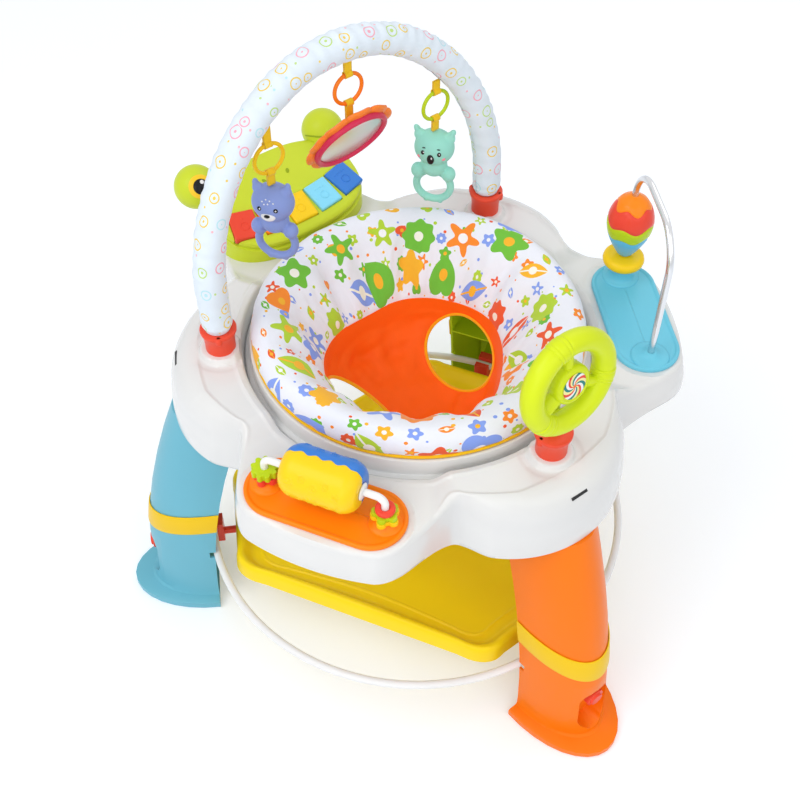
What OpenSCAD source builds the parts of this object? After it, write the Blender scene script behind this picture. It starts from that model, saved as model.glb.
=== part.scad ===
// Free-standing baby jumper: three splayed legs carry a moulded tray with a turning fabric seat and toys.
// The origin is on the floor under the seat's axis, +Z is up, and the front toy station lies towards -Y.
// Each leg or station has its own radial frame: x runs outwards, y runs sideways and z runs up.

/* [Seat] */
// Outer radius of the seat ring's wall
seat_r = 192.5; // [188:0.5:196]
// Thickness of the seat ring's wall
seat_wall = 5; // [4:0.5:7]
// Height of the seat ring's lip above the tray's ledge
lip_h = 26.5; // [22:0.5:32]
// Width of the flange that rides on the tray's ledge
flange_w = 6.5; // [5:0.5:7.5]
// Height of the padded ring's crown above the lip
pad_crown = 34; // [28:1:42]
// Width of the padded ring from the lip to its mouth
pad_run = 79.5; // [72:0.5:88]
// Depth of the mouth's edge below the lip
mouth_drop = 48; // [42:1:54]
// Thickness of the padding
padding = 22; // [18:1:26]
// Number of gathers round the padded ring
gathers = 24; // [16:2:32]
// Depth of a gather
gather_d = 2.2; // [1:0.2:3]
// Depth of the sling below the mouth's edge
sling_drop = 78; // [60:1:95]
// Width of the sling between the leg openings
crotch_w = 86; // [60:2:110]
// Thickness of the sling's cloth
cloth = 2; // [1.5:0.5:3]

/* [Tray] */
// Height of the tray's lobes above the floor
tray_z = 436; // [410:1:460]
// Wall thickness of the tray
tray_wall = 3; // [2:0.5:3.5]
// How far the toy stations lie below the lobes
station_drop = 12; // [8:1:14]
// Depth of the seat's ledge below the lobes
well_depth = 24; // [20:1:28]
// Depth of a toy station outside the seat ring
station_depth = 115.5; // [112:0.5:128]
// Depth of a leg lobe outside the seat ring
lobe_depth = 95.5; // [90:0.5:102]
// Depth of the waist between a station and a lobe
waist_depth = 47.5; // [42:0.5:58]
// Height of a station's skirt
station_skirt = 44; // [34:1:54]
// Height of a lobe's skirt
lobe_skirt = 84; // [74:1:92]

/* [Legs] */
// How far the leg's outer face stands out from the collar's axis on the floor
leg_splay = 137.5; // [130:0.5:146]
// Depth of the leg on the floor
leg_depth = 85.5; // [80:0.5:92]
// How far the leg's top reaches outwards from the collar's axis
top_out = 60; // [56:0.5:62]
// How far the leg's top reaches inwards from the collar's axis
top_in = 18.5; // [18:0.5:24]
// Width of the leg
leg_w = 102; // [96:1:108]
// How far the leg's neck steps in under the tray
neck_in = 12; // [10:0.5:16]
// Wall thickness of the leg
leg_wall = 3; // [2.5:0.5:4]
// How far the leg's shoulder lies below the lobes
shoulder_drop = 64; // [58:1:70]
// How far the foot's flange stands out in front
foot_flange = 28; // [20:1:32]
// How far the foot's flange stands out at the sides
side_flange = 14; // [8:1:18]
// Height of the band's lower edge
band_z = 147; // [140:1:156]
// Height of the band
band_h = 42; // [32:1:48]
// How far the band stands proud
band_t = 2.5; // [1.5:0.5:4]

/* [Base] */
// How far the floor ring lies inside the legs' inner faces on the floor
ring_inset = 4; // [3:0.5:7]
// Diameter of the floor ring's tube
ring_d = 10; // [8:0.5:12]
// Height of the floor ring
ring_z = 105; // [103:0.5:108]
// Height of the lock pins
pin_z = 87; // [84:0.5:88]
// Diameter of a lock pin
pin_d = 10; // [8:0.5:11]
// Travel of a lock pin
pin_travel = 12; // [8:1:13]
// Diameter of a lock pin's knob
knob_d = 26; // [20:1:30]
// Gap between the floor ring and the platform's corners
corner_gap = 29; // [27:0.5:34]
// How much nearer to the axis the platform's sides lie than its corners
side_cut = 53; // [48:1:62]
// Height of the platform's floor
deck_z = 104; // [102:1:108]
// Height of the platform's rim above its floor
rim_h = 18; // [10:1:24]
// Width of the platform's rim
rim_w = 26; // [20:1:32]

/* [Arch] */
// How far the axes of the three collars lie outside the seat ring
collar_off = 31.5; // [30:0.5:33]
// Height of a collar
collar_h = 36; // [30:1:42]
// Diameter of a collar's body
collar_d = 34; // [32:0.5:36]
// Diameter of the arch tube
tube_d = 22; // [18:1:24]
// Diameter of the padded sleeve
sleeve_d = 37; // [33:1:40]
// Straight length of each arch leg
arch_post = 72; // [60:1:90]
// Rise of the arch above its straight legs
arch_rise = 221; // [200:1:240]
// Outward lean at the arch's top
arch_lean = 32; // [20:1:40]
// Clear gap between the arch tube and its padding
sleeve_gap = 1.2; // [1:0.1:1.6]

/* [Hanging toys] */
// Outer diameter of a hanging ring
hang_d = 40; // [36:1:41]
// Thickness of a hanging ring
hang_t = 4.5; // [4:0.5:5]
// Length of the left sewn loop
loop_left = 27; // [23:0.5:36]
// Length of the middle sewn loop
loop_middle = 21.5; // [18:0.5:32]
// Length of the right sewn loop, under the arch's steep side
loop_right = 17.5; // [16.5:0.5:18]
// Width of the webbing
web_w = 9; // [7:0.5:10]
// Diameter of a rattle's head
rattle_head = 46; // [42:1:50]
// Outer diameter of a rattle's handle
handle_d = 52; // [48:1:56]
// Thickness of a rattle's handle
handle_t = 10; // [8:0.5:11]
// Diameter of the mirror
mirror_d = 80; // [72:1:86]
// Width of the mirror's rim
mirror_rim_w = 7; // [5:0.5:9]
// Downward tilt of the mirror
mirror_tilt = 28; // [18:1:34]
// Turn of a rattle on its strap
rattle_turn = -52; // [-60:1:0]

/* [Frog] */
// Half of the frog's width
frog_w = 100; // [96:1:106]
// Half of the frog's depth
frog_d = 58; // [56:1:62]
// How far the frog's middle lies outside the seat ring
frog_off = 71.5; // [71:0.5:76]
// Height of the face above the station at the frog's middle
face_h = 45; // [42:1:50]
// Slope of the face
face_slope = 20.8; // [17:0.2:22]
// Diameter of an eye
eye_d = 54; // [50:1:58]
// Width of a key
key_w = 33; // [29:1:34]
// Length of a key
key_len = 38; // [34:1:40]
// Travel of a key
key_travel = 3; // [2:0.5:3.5]

/* [Stations] */
// How far the middle of a station's plate lies outside the seat ring
plate_off = 62.5; // [60:0.5:64]
// Half of the plate's length
plate_half = 89; // [86:1:92]
// Half of the plate's width
plate_r = 38; // [35:1:39]
// Thickness of a plate
plate_t = 4; // [3:0.5:6]
// Distance of a rod's feet from the plate's middle
rod_half = 66.7; // [64:0.1:68]
// Diameter of the toy rods
rod_d = 8; // [7:0.5:9]
// Height of the front rod above its plate
front_rod_h = 40; // [39:1:46]
// Diameter of the drum
drum_d = 55; // [48:1:56]
// Length of the drum
drum_len = 84; // [78:1:90]
// Height of the right rod above its plate
right_rod_h = 170; // [170:1:186]
// Radius of the right rod's bends
hoop_bend = 46; // [40:1:46]
// Widest diameter of the balloon
balloon_d = 54; // [48:1:58]
// Height of the balloon
balloon_h = 88; // [80:1:88]

/* [Wheel] */
// Diameter of the toy wheel across the middle of its rim
wheel_d = 94.6; // [86:0.2:98]
// Thickness of the wheel's rim
wheel_rim = 26; // [22:1:27]
// Height of the wheel's hub above its collar's top
hub_h = 80; // [78:1:90]
// Lean of the wheel towards the seat
wheel_lean = 9; // [4:1:10]

/* [Fits] */
// Clearance round a turning or sliding pin
run_fit = 0.06; // [0.03:0.01:0.09]
// Clearance between parts that pass or rest near each other
gap = 0.3; // [0.2:0.05:0.4]

/* [Hidden] */
$fn = 48;

leg_dirs = [210, 330, 90];
front_dir = 270;
right_dir = 30;
frog_dir = 150;
station_dirs = [front_dir, right_dir, frog_dir];
over = 1;

white = [0.95, 0.95, 0.94];
lime = [0.77, 0.85, 0.05];
sky = [0.49, 0.80, 0.90];
orange = [1.0, 0.50, 0.10];
yellow = [0.98, 0.84, 0.12];
red = [0.93, 0.33, 0.24];
blue = [0.25, 0.52, 0.83];

mouth_r = seat_r - pad_run;
collar_r = seat_r + collar_off;
station_reach = seat_r + station_depth;
lobe_reach = seat_r + lobe_depth;
waist_reach = seat_r + waist_depth;
plate_u = seat_r + plate_off;
frog_u = seat_r + frog_off;
leg_out = collar_r + leg_splay;
leg_in = leg_out - leg_depth;
ring_r = leg_in - ring_inset;
corner_r = ring_r - corner_gap;
side_r = corner_r - side_cut;

ledge_z = tray_z - well_depth;
station_z = tray_z - station_drop;
hole_r = seat_r + 1;
well_r = seat_r + flange_w + 1;
lip_z = ledge_z + lip_h;
lobe_under = tray_z - tray_wall;
shoulder_z = tray_z - shoulder_drop;
leg_top_z = tray_z - lobe_skirt - gap;

function clamp01(t) = max(0, min(1, t));
function ease(t) = let (c = clamp01(t)) c * c * (3 - 2 * c);
function blend(a, b, t) = a + (b - a) * t;
function unit(v) = v / norm(v);
function flat_uv(r, deg) = [r * cos(deg), r * sin(deg)];

// Radial frame of a leg or station
module place(deg, r = 0, z = 0) {
  rotate([0, 0, deg]) translate([r, 0, z]) children();
}

// Skin over rows of points: each row is a closed outline, and a looped skin joins its last row to its first
module skin(rows, looped = false) {
  n = len(rows[0]);
  m = len(rows);
  steps = looped ? m : m - 1;
  walls = [
    for (i = [0:steps - 1], j = [0:n - 1])
      let (a = i * n + j, b = i * n + (j + 1) % n, c = ((i + 1) % m) * n + (j + 1) % n, d = ((i + 1) % m) * n + j)
        each [[c, b, a], [d, c, a]]
  ];
  caps = looped ? [] : [[for (j = [0:n - 1]) j], [for (j = [n - 1:-1:0]) (m - 1) * n + j]];
  polyhedron(points = [for (row = rows) each row], faces = concat(walls, caps), convexity = 8);
}

// Sheet between two grids of points, closed along its border
module sheet(front, back) {
  m = len(front);
  n = len(front[0]);
  k = m * n;
  cells = [for (i = [0:m - 2], j = [0:n - 2]) i * n + j];
  border = concat(
    [for (j = [0:n - 2]) [j, j + 1]],
    [for (i = [0:m - 2]) [i * n + n - 1, (i + 1) * n + n - 1]],
    [for (j = [n - 2:-1:0]) [(m - 1) * n + j + 1, (m - 1) * n + j]],
    [for (i = [m - 2:-1:0]) [(i + 1) * n, i * n]]
  );
  polyhedron(points = concat([for (row = front) each row], [for (row = back) each row]), faces = concat(
    [for (c = cells) each [[c, c + n + 1, c + 1], [c, c + n, c + n + 1]]],
    [for (c = cells) each [[c + k, c + k + 1, c + k + n + 1], [c + k, c + k + n + 1, c + k + n]]],
    [for (e = border) each [[e[0], e[1], e[1] + k], [e[0], e[1] + k, e[0] + k]]]
  ), convexity = 8);
}

// Stadium outline along y
module stadium(half, r) {
  circle(r);
  for (side = [-1, 1]) translate([0, side * (half - r)]) circle(r);
  square([2 * r, 2 * (half - r)], center = true);
}

// Turned ring with a round bar
module bar_ring(r, bar_r) {
  rotate_extrude($fn = 96) translate([r, 0]) circle(bar_r);
}

// Legs: bowed half-oval shells, open towards the seat, with a neck that stands inside the tray's lobe
leg_steps = 16;
bow_rows = 7;
flange_zs = [0, 2, 11, 14, 18, 24, 31];
flange_shares = [0.96, 1, 1, 0.92, 0.55, 0.17, 0];
rib_zs = [166, 240, 314];
rib_t = 3;
knob_len = 17;
niche_r = knob_d / 2 + 9;
niche_low = 38;
niche_back = 45;
guide_half = 11;
saddle_wall = 12;
post_r = collar_d / 2;

function bow(z) = pow(z / shoulder_z, 2);
function leg_u_in(z) = blend(leg_in, collar_r - top_in, bow(z));
function leg_u_out(z) = blend(leg_out, collar_r + top_out, bow(z));
niche_u = leg_u_out(pin_z) - niche_back + 24;
guide_u = niche_u - leg_wall;
saddle_u = ring_r + ring_d / 2 + saddle_wall;
saddle_in = ring_r - ring_d / 2 - 8;
guide_len = guide_u - saddle_u;

// Section of a leg at a height, grown in front and at the sides, and carried on inwards where it is a hollow
function leg_outline(z, front, side, inward = 0) = let (
  u_in = leg_u_in(z),
  deep = leg_u_out(z) + front - u_in,
  half = leg_w / 2 + side
) concat(
  [for (k = [0:leg_steps]) let (a = -90 + 180 * k / leg_steps) [u_in + deep * cos(a), half * sin(a), z]],
  inward > 0 ? [[u_in - inward, half, z], [u_in - inward, -half, z]] : []
);

function leg_rows(low, high, grow, inward) = [
  for (k = [0:bow_rows]) leg_outline(blend(low, high, k / bow_rows), grow, grow, inward)
];

module leg_outside() {
  last = len(flange_zs) - 1;
  skin(concat(
    [for (k = [0:last]) let (share = flange_shares[k])
      leg_outline(flange_zs[k], foot_flange * share, side_flange * share)],
    leg_rows(flange_zs[last] + 1, leg_top_z, 0, 0),
    [for (z = [leg_top_z, shoulder_z]) leg_outline(z, -neck_in, -neck_in)]
  ));
}

module leg_hollow() {
  open_side = 12;
  ceiling = leg_top_z - leg_wall - 1;
  neck = -neck_in - leg_wall;
  skin(concat(
    leg_rows(leg_wall + 1, ceiling, -leg_wall, open_side),
    [for (z = [ceiling, shoulder_z - leg_wall - 1]) leg_outline(z, neck, neck, open_side)]
  ));
}

module leg_ribs() {
  for (z = rib_zs) translate([0, -leg_w, z]) cube([2 * leg_out, 2 * leg_w, rib_t]);
}

// Oval niche round the knob, seen along the pin
module niche(r, from_u) {
  for (z = [pin_z, pin_z - niche_low])
    translate([from_u, 0, z]) rotate([0, 90, 0]) cylinder(h = leg_out, r = r);
  translate([from_u, -r, pin_z - niche_low]) cube([leg_out, 2 * r, niche_low]);
}

module leg(i) {
  place(leg_dirs[i]) difference() {
    union() {
      difference() {
        leg_outside();
        difference() {
          leg_hollow();
          leg_ribs();
        }
      }
      intersection() {
        leg_outside();
        niche(niche_r + leg_wall, guide_u);
      }
      translate([saddle_u, -guide_half, pin_z - guide_half])
        cube([guide_len + over, 2 * guide_half, 2 * guide_half]);
      translate([collar_r, 0, shoulder_z - leg_wall - over])
        cylinder(h = lobe_under - shoulder_z + leg_wall + over, r = post_r);
    }
    niche(niche_r, niche_u);
    translate([saddle_u - over, 0, pin_z]) rotate([0, 90, 0])
      cylinder(h = guide_len + leg_wall + 3 * over, r = pin_d / 2 + run_fit);
    translate([0, -leg_w, ring_z - ring_d / 2 - 1])
      cube([ring_r + ring_d / 2 + 1, 2 * leg_w, ring_d + 2]);
  }
}

module leg_left() { color(sky) leg(0); }
module leg_right() { color(orange) leg(1); }
module leg_back() { color(lime) leg(2); }

// Band round the outside of a leg, following its bow
module leg_band() {
  corners = [[0, gap], [0, band_t], [1, band_t], [1, gap]];
  rows = [for (c = corners) leg_outline(band_z + c[0] * band_h, c[1], c[1])];
  skin([for (k = [0:leg_steps]) [for (row = rows) row[k]]]);
}

module leg_bands() {
  color(yellow) for (deg = leg_dirs) place(deg) leg_band();
}

// Floor ring, its saddles and the sprung lock pins
module floor_ring() {
  color(white) translate([0, 0, ring_z]) bar_ring(ring_r, ring_d / 2);
}

module ring_saddle() {
  half = guide_half - 1;
  top = ring_z + ring_d / 2 + 3;
  difference() {
    translate([saddle_in, -half, pin_z - half]) cube([saddle_u - saddle_in, 2 * half, top - pin_z + half]);
    translate([ring_r - ring_d / 2 - gap, -leg_w, ring_z]) cube([ring_d + 2 * gap, 2 * leg_w, 2 * ring_d]);
    translate([0, 0, ring_z]) bar_ring(ring_r, ring_d / 2 + gap);
    translate([saddle_in - over, 0, pin_z]) rotate([0, 90, 0])
      cylinder(h = saddle_u - saddle_in + 2 * over, r = pin_d / 2 + gap);
  }
}

module ring_saddles() {
  color(red) for (deg = leg_dirs) place(deg) ring_saddle();
}

pin_end = corner_r - pin_travel + 2;

module lock_pin(i) {
  color(red) place(leg_dirs[i], 0, pin_z) rotate([0, 90, 0]) {
    translate([0, 0, pin_end]) cylinder(h = niche_u - pin_end + 3, r = pin_d / 2);
    translate([0, 0, niche_u + gap]) cylinder(h = knob_len, d = knob_d, $fn = 8);
    translate([0, 0, niche_u + gap + knob_len]) cylinder(h = 3, d = 0.7 * knob_d, $fn = 8);
  }
}

module lock_pin_left() { lock_pin(0); }
module lock_pin_right() { lock_pin(1); }
module lock_pin_back() { lock_pin(2); }

// Foot platform: a shallow dish with three long sides, three short corners and a sloped rim
deck_t = 5;
deck_steps = 72;
corner_round = 34;
socket_r = pin_d / 2 + 4;
socket_len = 30;

// Radius of the platform's outline: the nearer of a side and a corner, blended where they meet
function deck_r(a) = let (
  f = from_station(a),
  s = side_r / cos(f),
  c = corner_r / cos(60 - f),
  h = clamp01(0.5 + 0.5 * (c - s) / corner_round)
) blend(c, s, h) - corner_round * h * (1 - h) * 0.5;

function deck_row(inset, z) = [
  for (k = [0:deck_steps - 1]) let (a = 360 * k / deck_steps, r = deck_r(a) - inset) [r * cos(a), r * sin(a), z]
];

module platform() {
  low_z = deck_z - deck_t - 4;
  color(yellow) difference() {
    union() {
      skin([
        deck_row(rim_w + deck_t + over, deck_z - deck_t),
        deck_row(deck_t, low_z),
        deck_row(0, low_z),
        deck_row(0.12 * rim_w, deck_z + rim_h - rim_h / 6),
        deck_row(0.27 * rim_w, deck_z + rim_h),
        deck_row(0.46 * rim_w, deck_z + rim_h - rim_h / 9),
        deck_row(rim_w, deck_z)
      ]);
      for (deg = leg_dirs) place(deg, corner_r - socket_len, pin_z) rotate([0, 90, 0])
        cylinder(h = socket_len, r = socket_r);
    }
    for (deg = leg_dirs) place(deg, pin_end - 2, pin_z) rotate([0, 90, 0])
      cylinder(h = 4 * pin_travel, r = pin_d / 2 + run_fit);
  }
}

// Tray: one moulded shell with three toy stations, three leg lobes and a round well for the seat
tray_steps = 120;
station_flat = 13;
station_foot = 33;
lobe_flat = 9;
lobe_foot = 29;

// Angle from the nearest station: 0 at a station, 60 at a leg
function from_station(a) = let (b = (a + 330) % 120) min(b, 120 - b);
function swell(x, flat_to, foot) = ease((foot - x) / (foot - flat_to));
function tray_reach(f) = waist_reach
  + (station_reach - waist_reach) * swell(f, station_flat, station_foot)
  + (lobe_reach - waist_reach) * swell(60 - f, lobe_flat, lobe_foot);
function lobe_share(f) = ease((f - 27) / 23);

function tray_section(a) = let (
  f = from_station(a),
  share = lobe_share(f),
  reach = tray_reach(f),
  top = tray_z - station_drop * (1 - share),
  low = tray_z - blend(station_drop + station_skirt, lobe_skirt, share),
  round_r = blend(8, 28, share),
  edge = reach - blend(5, 4, share),
  bend = edge - round_r,
  inner = round_r - tray_wall
) [
  [hole_r, ledge_z - tray_wall],
  [well_r + tray_wall, ledge_z - tray_wall],
  [well_r + 1.5 + tray_wall, top - tray_wall],
  [bend, top - tray_wall],
  [bend + inner * sin(45), top - round_r + inner * cos(45)],
  [edge - tray_wall, top - round_r],
  [reach - tray_wall, low],
  [reach, low],
  [edge, top - round_r],
  [bend + round_r * sin(60), top - round_r + round_r * cos(60)],
  [bend + round_r * sin(30), top - round_r + round_r * cos(30)],
  [bend, top],
  [well_r + 1.5, top],
  [well_r, ledge_z],
  [hole_r, ledge_z]
];

module tray_shell() {
  color(white) skin([
    for (k = [0:tray_steps - 1]) let (a = 720 - 360 * k / tray_steps)
      [for (p = tray_section(a)) [p[0] * cos(a), p[0] * sin(a), p[1]]]
  ], looped = true);
}

// Seat ring: it turns on the tray's ledge, held down by a retainer under the ledge
retainer_t = 4;
foot_z = ledge_z - tray_wall - retainer_t - gap;

module seat_ring() {
  color(white) rotate_extrude($fn = 120) {
    translate([seat_r - seat_wall, foot_z]) square([seat_wall, lip_z - foot_z]);
    translate([seat_r - seat_wall, ledge_z + gap]) square([seat_wall + flange_w, 4]);
  }
}

module seat_retainer() {
  color(white) rotate_extrude($fn = 120) {
    translate([seat_r - seat_wall, foot_z - retainer_t]) square([seat_wall + flange_w - 1, retainer_t]);
    translate([hole_r, foot_z - retainer_t]) square([flange_w - 2, 2 * retainer_t]);
  }
}

// Padded seat ring: crowned over the lip, drawn in at the gathers, sloping down to the mouth
pad_steps = 96;

function pad_section(a) = let (
  pull = gather_d * (0.5 - 0.5 * cos(gathers * a)) * (1 + 0.35 * sin(3 * a + 20)),
  seat_on = lip_z + gap,
  run = seat_r - mouth_r,
  crown = lip_z + pad_crown
) [
  [seat_r - seat_wall - gap, seat_on],
  [seat_r - 0.5, seat_on],
  [seat_r + 3, seat_on + 0.32 * pad_crown],
  [seat_r - 0.06 * run, crown - 0.24 * pad_crown],
  [seat_r - 0.25 * run, crown - 0.5 * pull],
  [seat_r - 0.52 * run, crown - 0.2 * pad_crown - pull],
  [mouth_r + 0.21 * run, lip_z - 0.04 * mouth_drop - 1.4 * pull],
  [mouth_r + 1.5, lip_z - 0.78 * mouth_drop - pull],
  [mouth_r, lip_z - mouth_drop],
  [mouth_r + 0.35 * padding, lip_z - mouth_drop + 1],
  [mouth_r + 0.34 * run + 0.3 * padding, lip_z - 0.3 * padding],
  [seat_r - 0.27 * run, lip_z + pad_crown - padding - 3]
];

module seat_pad() {
  color([0.93, 0.94, 0.98]) skin([
    for (k = [0:pad_steps - 1]) let (a = 720 - 360 * k / pad_steps)
      [for (p = pad_section(a)) [p[0] * cos(a), p[0] * sin(a), p[1]]]
  ], looped = true);
}

// Sling: one strip from the front of the mouth under the crotch to the back, narrow between the leg openings
sling_rows = 28;
sling_cols = 12;
sling_z = lip_z - mouth_drop - gap;
sling_top_r = mouth_r + cloth;
side_seam = 89.6;
crotch_side = 40;

// Middle of the cloth: s runs from -1 at the front edge to 1 at the back edge, c from -1 to 1 across
function sling_mid(s, c) = let (
  d = cos(90 * s),
  narrow = ease((d - 0.3) / 0.36),
  side = blend(side_seam, crotch_side, narrow),
  wide = blend(sling_top_r, crotch_w / 2, narrow),
  fold = 2 * narrow * cos(420 * c + 150 * s)
) [
  -sling_top_r * sin(90 * s) * cos(side * c),
  wide * sin(side * c) / sin(side),
  sling_z - sling_drop * d + fold
];

function sling_face(s, c, side) = let (
  h = 0.01,
  along = sling_mid(min(1, s + h), c) - sling_mid(max(-1, s - h), c),
  across = sling_mid(s, min(1, c + h)) - sling_mid(s, max(-1, c - h))
) sling_mid(s, c) + side * cloth / 2 * unit(cross(along, across));

function sling_grid(side) = [
  for (i = [0:sling_rows]) [
    for (j = [0:sling_cols]) sling_face(-1 + 2 * i / sling_rows, -1 + 2 * j / sling_cols, side)
  ]
];

module seat_sling() {
  color([1, 0.40, 0.02]) rotate([0, 0, frog_dir]) sheet(sling_grid(-1), sling_grid(1));
}

// Collars: tulip cups on the lobes, with two ears
collar_floor = 2;
ear_r = 4;

module collar(deg, bore_d) {
  color(red) place(deg, collar_r, tray_z) difference() {
    union() {
      rotate_extrude() polygon([
        [0, 0], [collar_d / 2, 0], [collar_d / 2, 0.45 * collar_h],
        [collar_d / 2 + 1, 0.7 * collar_h], [collar_d / 2 + 3.5, collar_h - 4],
        [collar_d / 2 + 3.5, collar_h], [0, collar_h]
      ]);
      for (side = [-1, 1]) translate([0, side * (collar_d / 2 + 1), collar_h - 9])
        cylinder(h = 9, r = ear_r);
    }
    translate([0, 0, collar_floor]) cylinder(h = collar_h, d = bore_d + 2 * gap);
  }
}

module arch_collars() {
  collar(leg_dirs[0], tube_d);
  collar(leg_dirs[2], tube_d);
}

stalk_d = 14;

module wheel_collar() { collar(leg_dirs[1], stalk_d); }

// Arch: a tube between two collars, rising as half an ellipse and leaning out over the frog
arch_a = flat_uv(collar_r, leg_dirs[0]);
arch_b = flat_uv(collar_r, leg_dirs[2]);
arch_mid = (arch_a + arch_b) / 2;
arch_half = norm(arch_b - arch_a) / 2;
arch_along = unit(arch_b - arch_a);
arch_out = flat_uv(1, frog_dir);
arch_foot = tray_z + collar_floor;
arch_top_h = arch_post + arch_rise;
arch_sides = 10;
arc_rings = 52;
post_rings = 4;

// Point of the arch's middle line, for a run along the chord and a height above its feet, upright in the collars
function arch_place(s, h) = let (
  lean = arch_lean * pow(clamp01((h - collar_h) / (arch_top_h - collar_h)), 1.5),
  p = arch_mid + arch_along * s + arch_out * lean
) [p[0], p[1], arch_foot + h];
function arch_arc(t) = arch_place(-arch_half * cos(t), arch_post + arch_rise * sin(t));
function arch_path(skip) = concat(
  [for (k = [0:post_rings - 1]) arch_place(-arch_half, blend(skip, arch_post, k / post_rings))],
  [for (k = [0:arc_rings]) arch_arc(180 * k / arc_rings)],
  [for (k = [post_rings - 1:-1:0]) arch_place(arch_half, blend(skip, arch_post, k / post_rings))]
);

// Rows of a round tube along the arch; gathers pinch the inner side of the bend
function arch_rows(path, r, pinch) = [
  for (i = [0:len(path) - 1]) let (
    last = len(path) - 1,
    t = i == 0 ? [0, 0, 1] : i == last ? [0, 0, -1] : unit(path[i + 1] - path[i - 1]),
    side = unit(cross(t, [arch_out[0], arch_out[1], 0])),
    out = cross(side, t)
  ) [for (j = [0:arch_sides - 1]) let (
      a = 360 * j / arch_sides,
      inner = pow(clamp01(-cos(a)), 2),
      d = r - pinch * inner * (i % 2)
    ) path[i] + d * (-cos(a) * side + sin(a) * out)]
];

module arch_tube() {
  color(white) skin(arch_rows(arch_path(0), tube_d / 2, 0));
}

// The sleeve is a padded tube with its own bore round the arch
module arch_sleeve() {
  path = arch_path(collar_h - collar_floor + gap);
  outside = arch_rows(path, sleeve_d / 2, 1.6);
  bore = arch_rows(path, tube_d / 2 + sleeve_gap, 0);
  n = len(path);
  rows = [for (j = [0:arch_sides - 1]) concat(
    [for (i = [0:n - 1]) outside[i][j]],
    [for (i = [n - 1:-1:0]) bore[i][j]]
  )];
  color([0.88, 0.92, 0.96]) skin([for (j = [arch_sides - 1:-1:0]) rows[j]], looped = true);
}

// Hanging toys: a sewn loop, a ring in it, and a strap on the ring that carries the toy
hang_spots = [61.6, 94.5, 131.3];
loop_lens = [loop_left, loop_middle, loop_right];
hang_r = (hang_d - hang_t) / 2;
eye_r = hang_t / 2 + web_w * web_w / (8 * hang_r) + gap;
web_t = 2 * eye_r + 3;
toy_dir = frog_dir + 180;

// Height of the sleeve's underside over a run along the chord
function under_z(s) = let (
  t = acos(-s / arch_half),
  slope = atan2(arch_rise * cos(t), arch_half * sin(t))
) arch_foot + arch_post + arch_rise * sin(t) - sleeve_d / 2 / cos(slope);
function hang_s(i) = -arch_half * cos(hang_spots[i]);
function loop_top(i) = min(under_z(hang_s(i) - web_w / 2), under_z(hang_s(i) + web_w / 2))
  - gap * (1 + 6 * abs(cos(hang_spots[i])));
function hang_point(i) = let (p = arch_arc(hang_spots[i])) [p[0], p[1], loop_top(i) - loop_lens[i] + web_t / 2];

// Frame of a hanging toy: the origin on the ring's upper pivot, x towards the seat, y along the arch
module hang(i) {
  translate(hang_point(i)) rotate([0, 0, toy_dir]) children();
}

// Flat webbing with a round eye at z = 0, reaching up or down
module webbing(up, down) {
  difference() {
    union() {
      rotate([90, 0, 0]) cylinder(h = web_w, d = web_t, center = true);
      translate([-web_t / 2 + 1, -web_w / 2, -down]) cube([web_t - 2, web_w, up + down]);
    }
    rotate([90, 0, 0]) cylinder(h = 2 * web_w, r = eye_r, center = true);
  }
}

module sewn_loops() {
  color(yellow) for (i = [0:2]) hang(i) webbing(loop_lens[i] - web_t / 2, 0);
}

module hang_ring(i) {
  hang(i) translate([0, 0, -hang_r]) rotate([0, 90, 0]) bar_ring(hang_r, hang_t / 2);
}

strap_len = 17;
toy_z = -2 * hang_r - strap_len;

module toy_strap(i) {
  color(yellow) hang(i) translate([0, 0, -2 * hang_r]) webbing(0, strap_len);
}

module ring_left() { color(yellow) hang_ring(0); }
module ring_middle() { color(orange) hang_ring(1); }
module ring_right() { color(lime) hang_ring(2); }
module bear_strap() { toy_strap(0); }
module koala_strap() { toy_strap(2); }

// Animal rattle: a head with two ears over a small body whose arms hold a handle ring
module rattle(i, ear_d, ear_y, ear_up) {
  head_r = rattle_head / 2;
  grip_z = -1.72 * rattle_head;
  hang(i) translate([0, 0, toy_z]) rotate([0, 0, rattle_turn]) difference() {
    translate([0, 0, -head_r]) union() {
      sphere(head_r);
      for (side = [-1, 1]) translate([0, side * ear_y, ear_up]) sphere(d = ear_d);
      translate([0, 0, -0.55 * rattle_head]) sphere(d = 0.72 * rattle_head);
      for (side = [-1, 1]) translate([3, side * (handle_d - handle_t) / 2 * 0.9, -0.78 * rattle_head])
        sphere(d = 0.42 * rattle_head);
      translate([0, 0, grip_z + rattle_head / 2]) rotate([0, 90, 0])
        bar_ring((handle_d - handle_t) / 2, handle_t / 2);
    }
    translate([-web_t, -web_w, 0]) cube([2 * web_t, 2 * web_w, rattle_head]);
  }
}

module bear_rattle() { color([0.53, 0.58, 0.83]) rattle(0, 13, 16, 17); }
module koala_rattle() { color([0.55, 0.83, 0.76]) rattle(2, 18, 20, 13); }

// Mirror: a glass in a round rim on a petal plate, hung from the back of the plate
petal_t = 5;
petals = 10;
mirror_drop = 30;

module mirror_frame() {
  hang(1) translate([0, 0, -2 * hang_r - strap_len - mirror_drop]) rotate([0, 90 + mirror_tilt, 0]) children();
}

module mirror_strap() {
  color(yellow) difference() {
    hang(1) translate([0, 0, -2 * hang_r]) webbing(0, strap_len + mirror_drop / 2);
    mirror_frame() translate([0, 0, -petal_t - gap]) cylinder(h = 60, r = mirror_d);
  }
}

module mirror_petals() {
  color(orange) mirror_frame() translate([0, 0, -petal_t]) linear_extrude(petal_t) {
    circle(mirror_d / 2 + mirror_rim_w);
    for (k = [0:petals - 1]) rotate(360 * k / petals) translate([mirror_d / 2 + 2, 0]) circle(13);
  }
}

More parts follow.
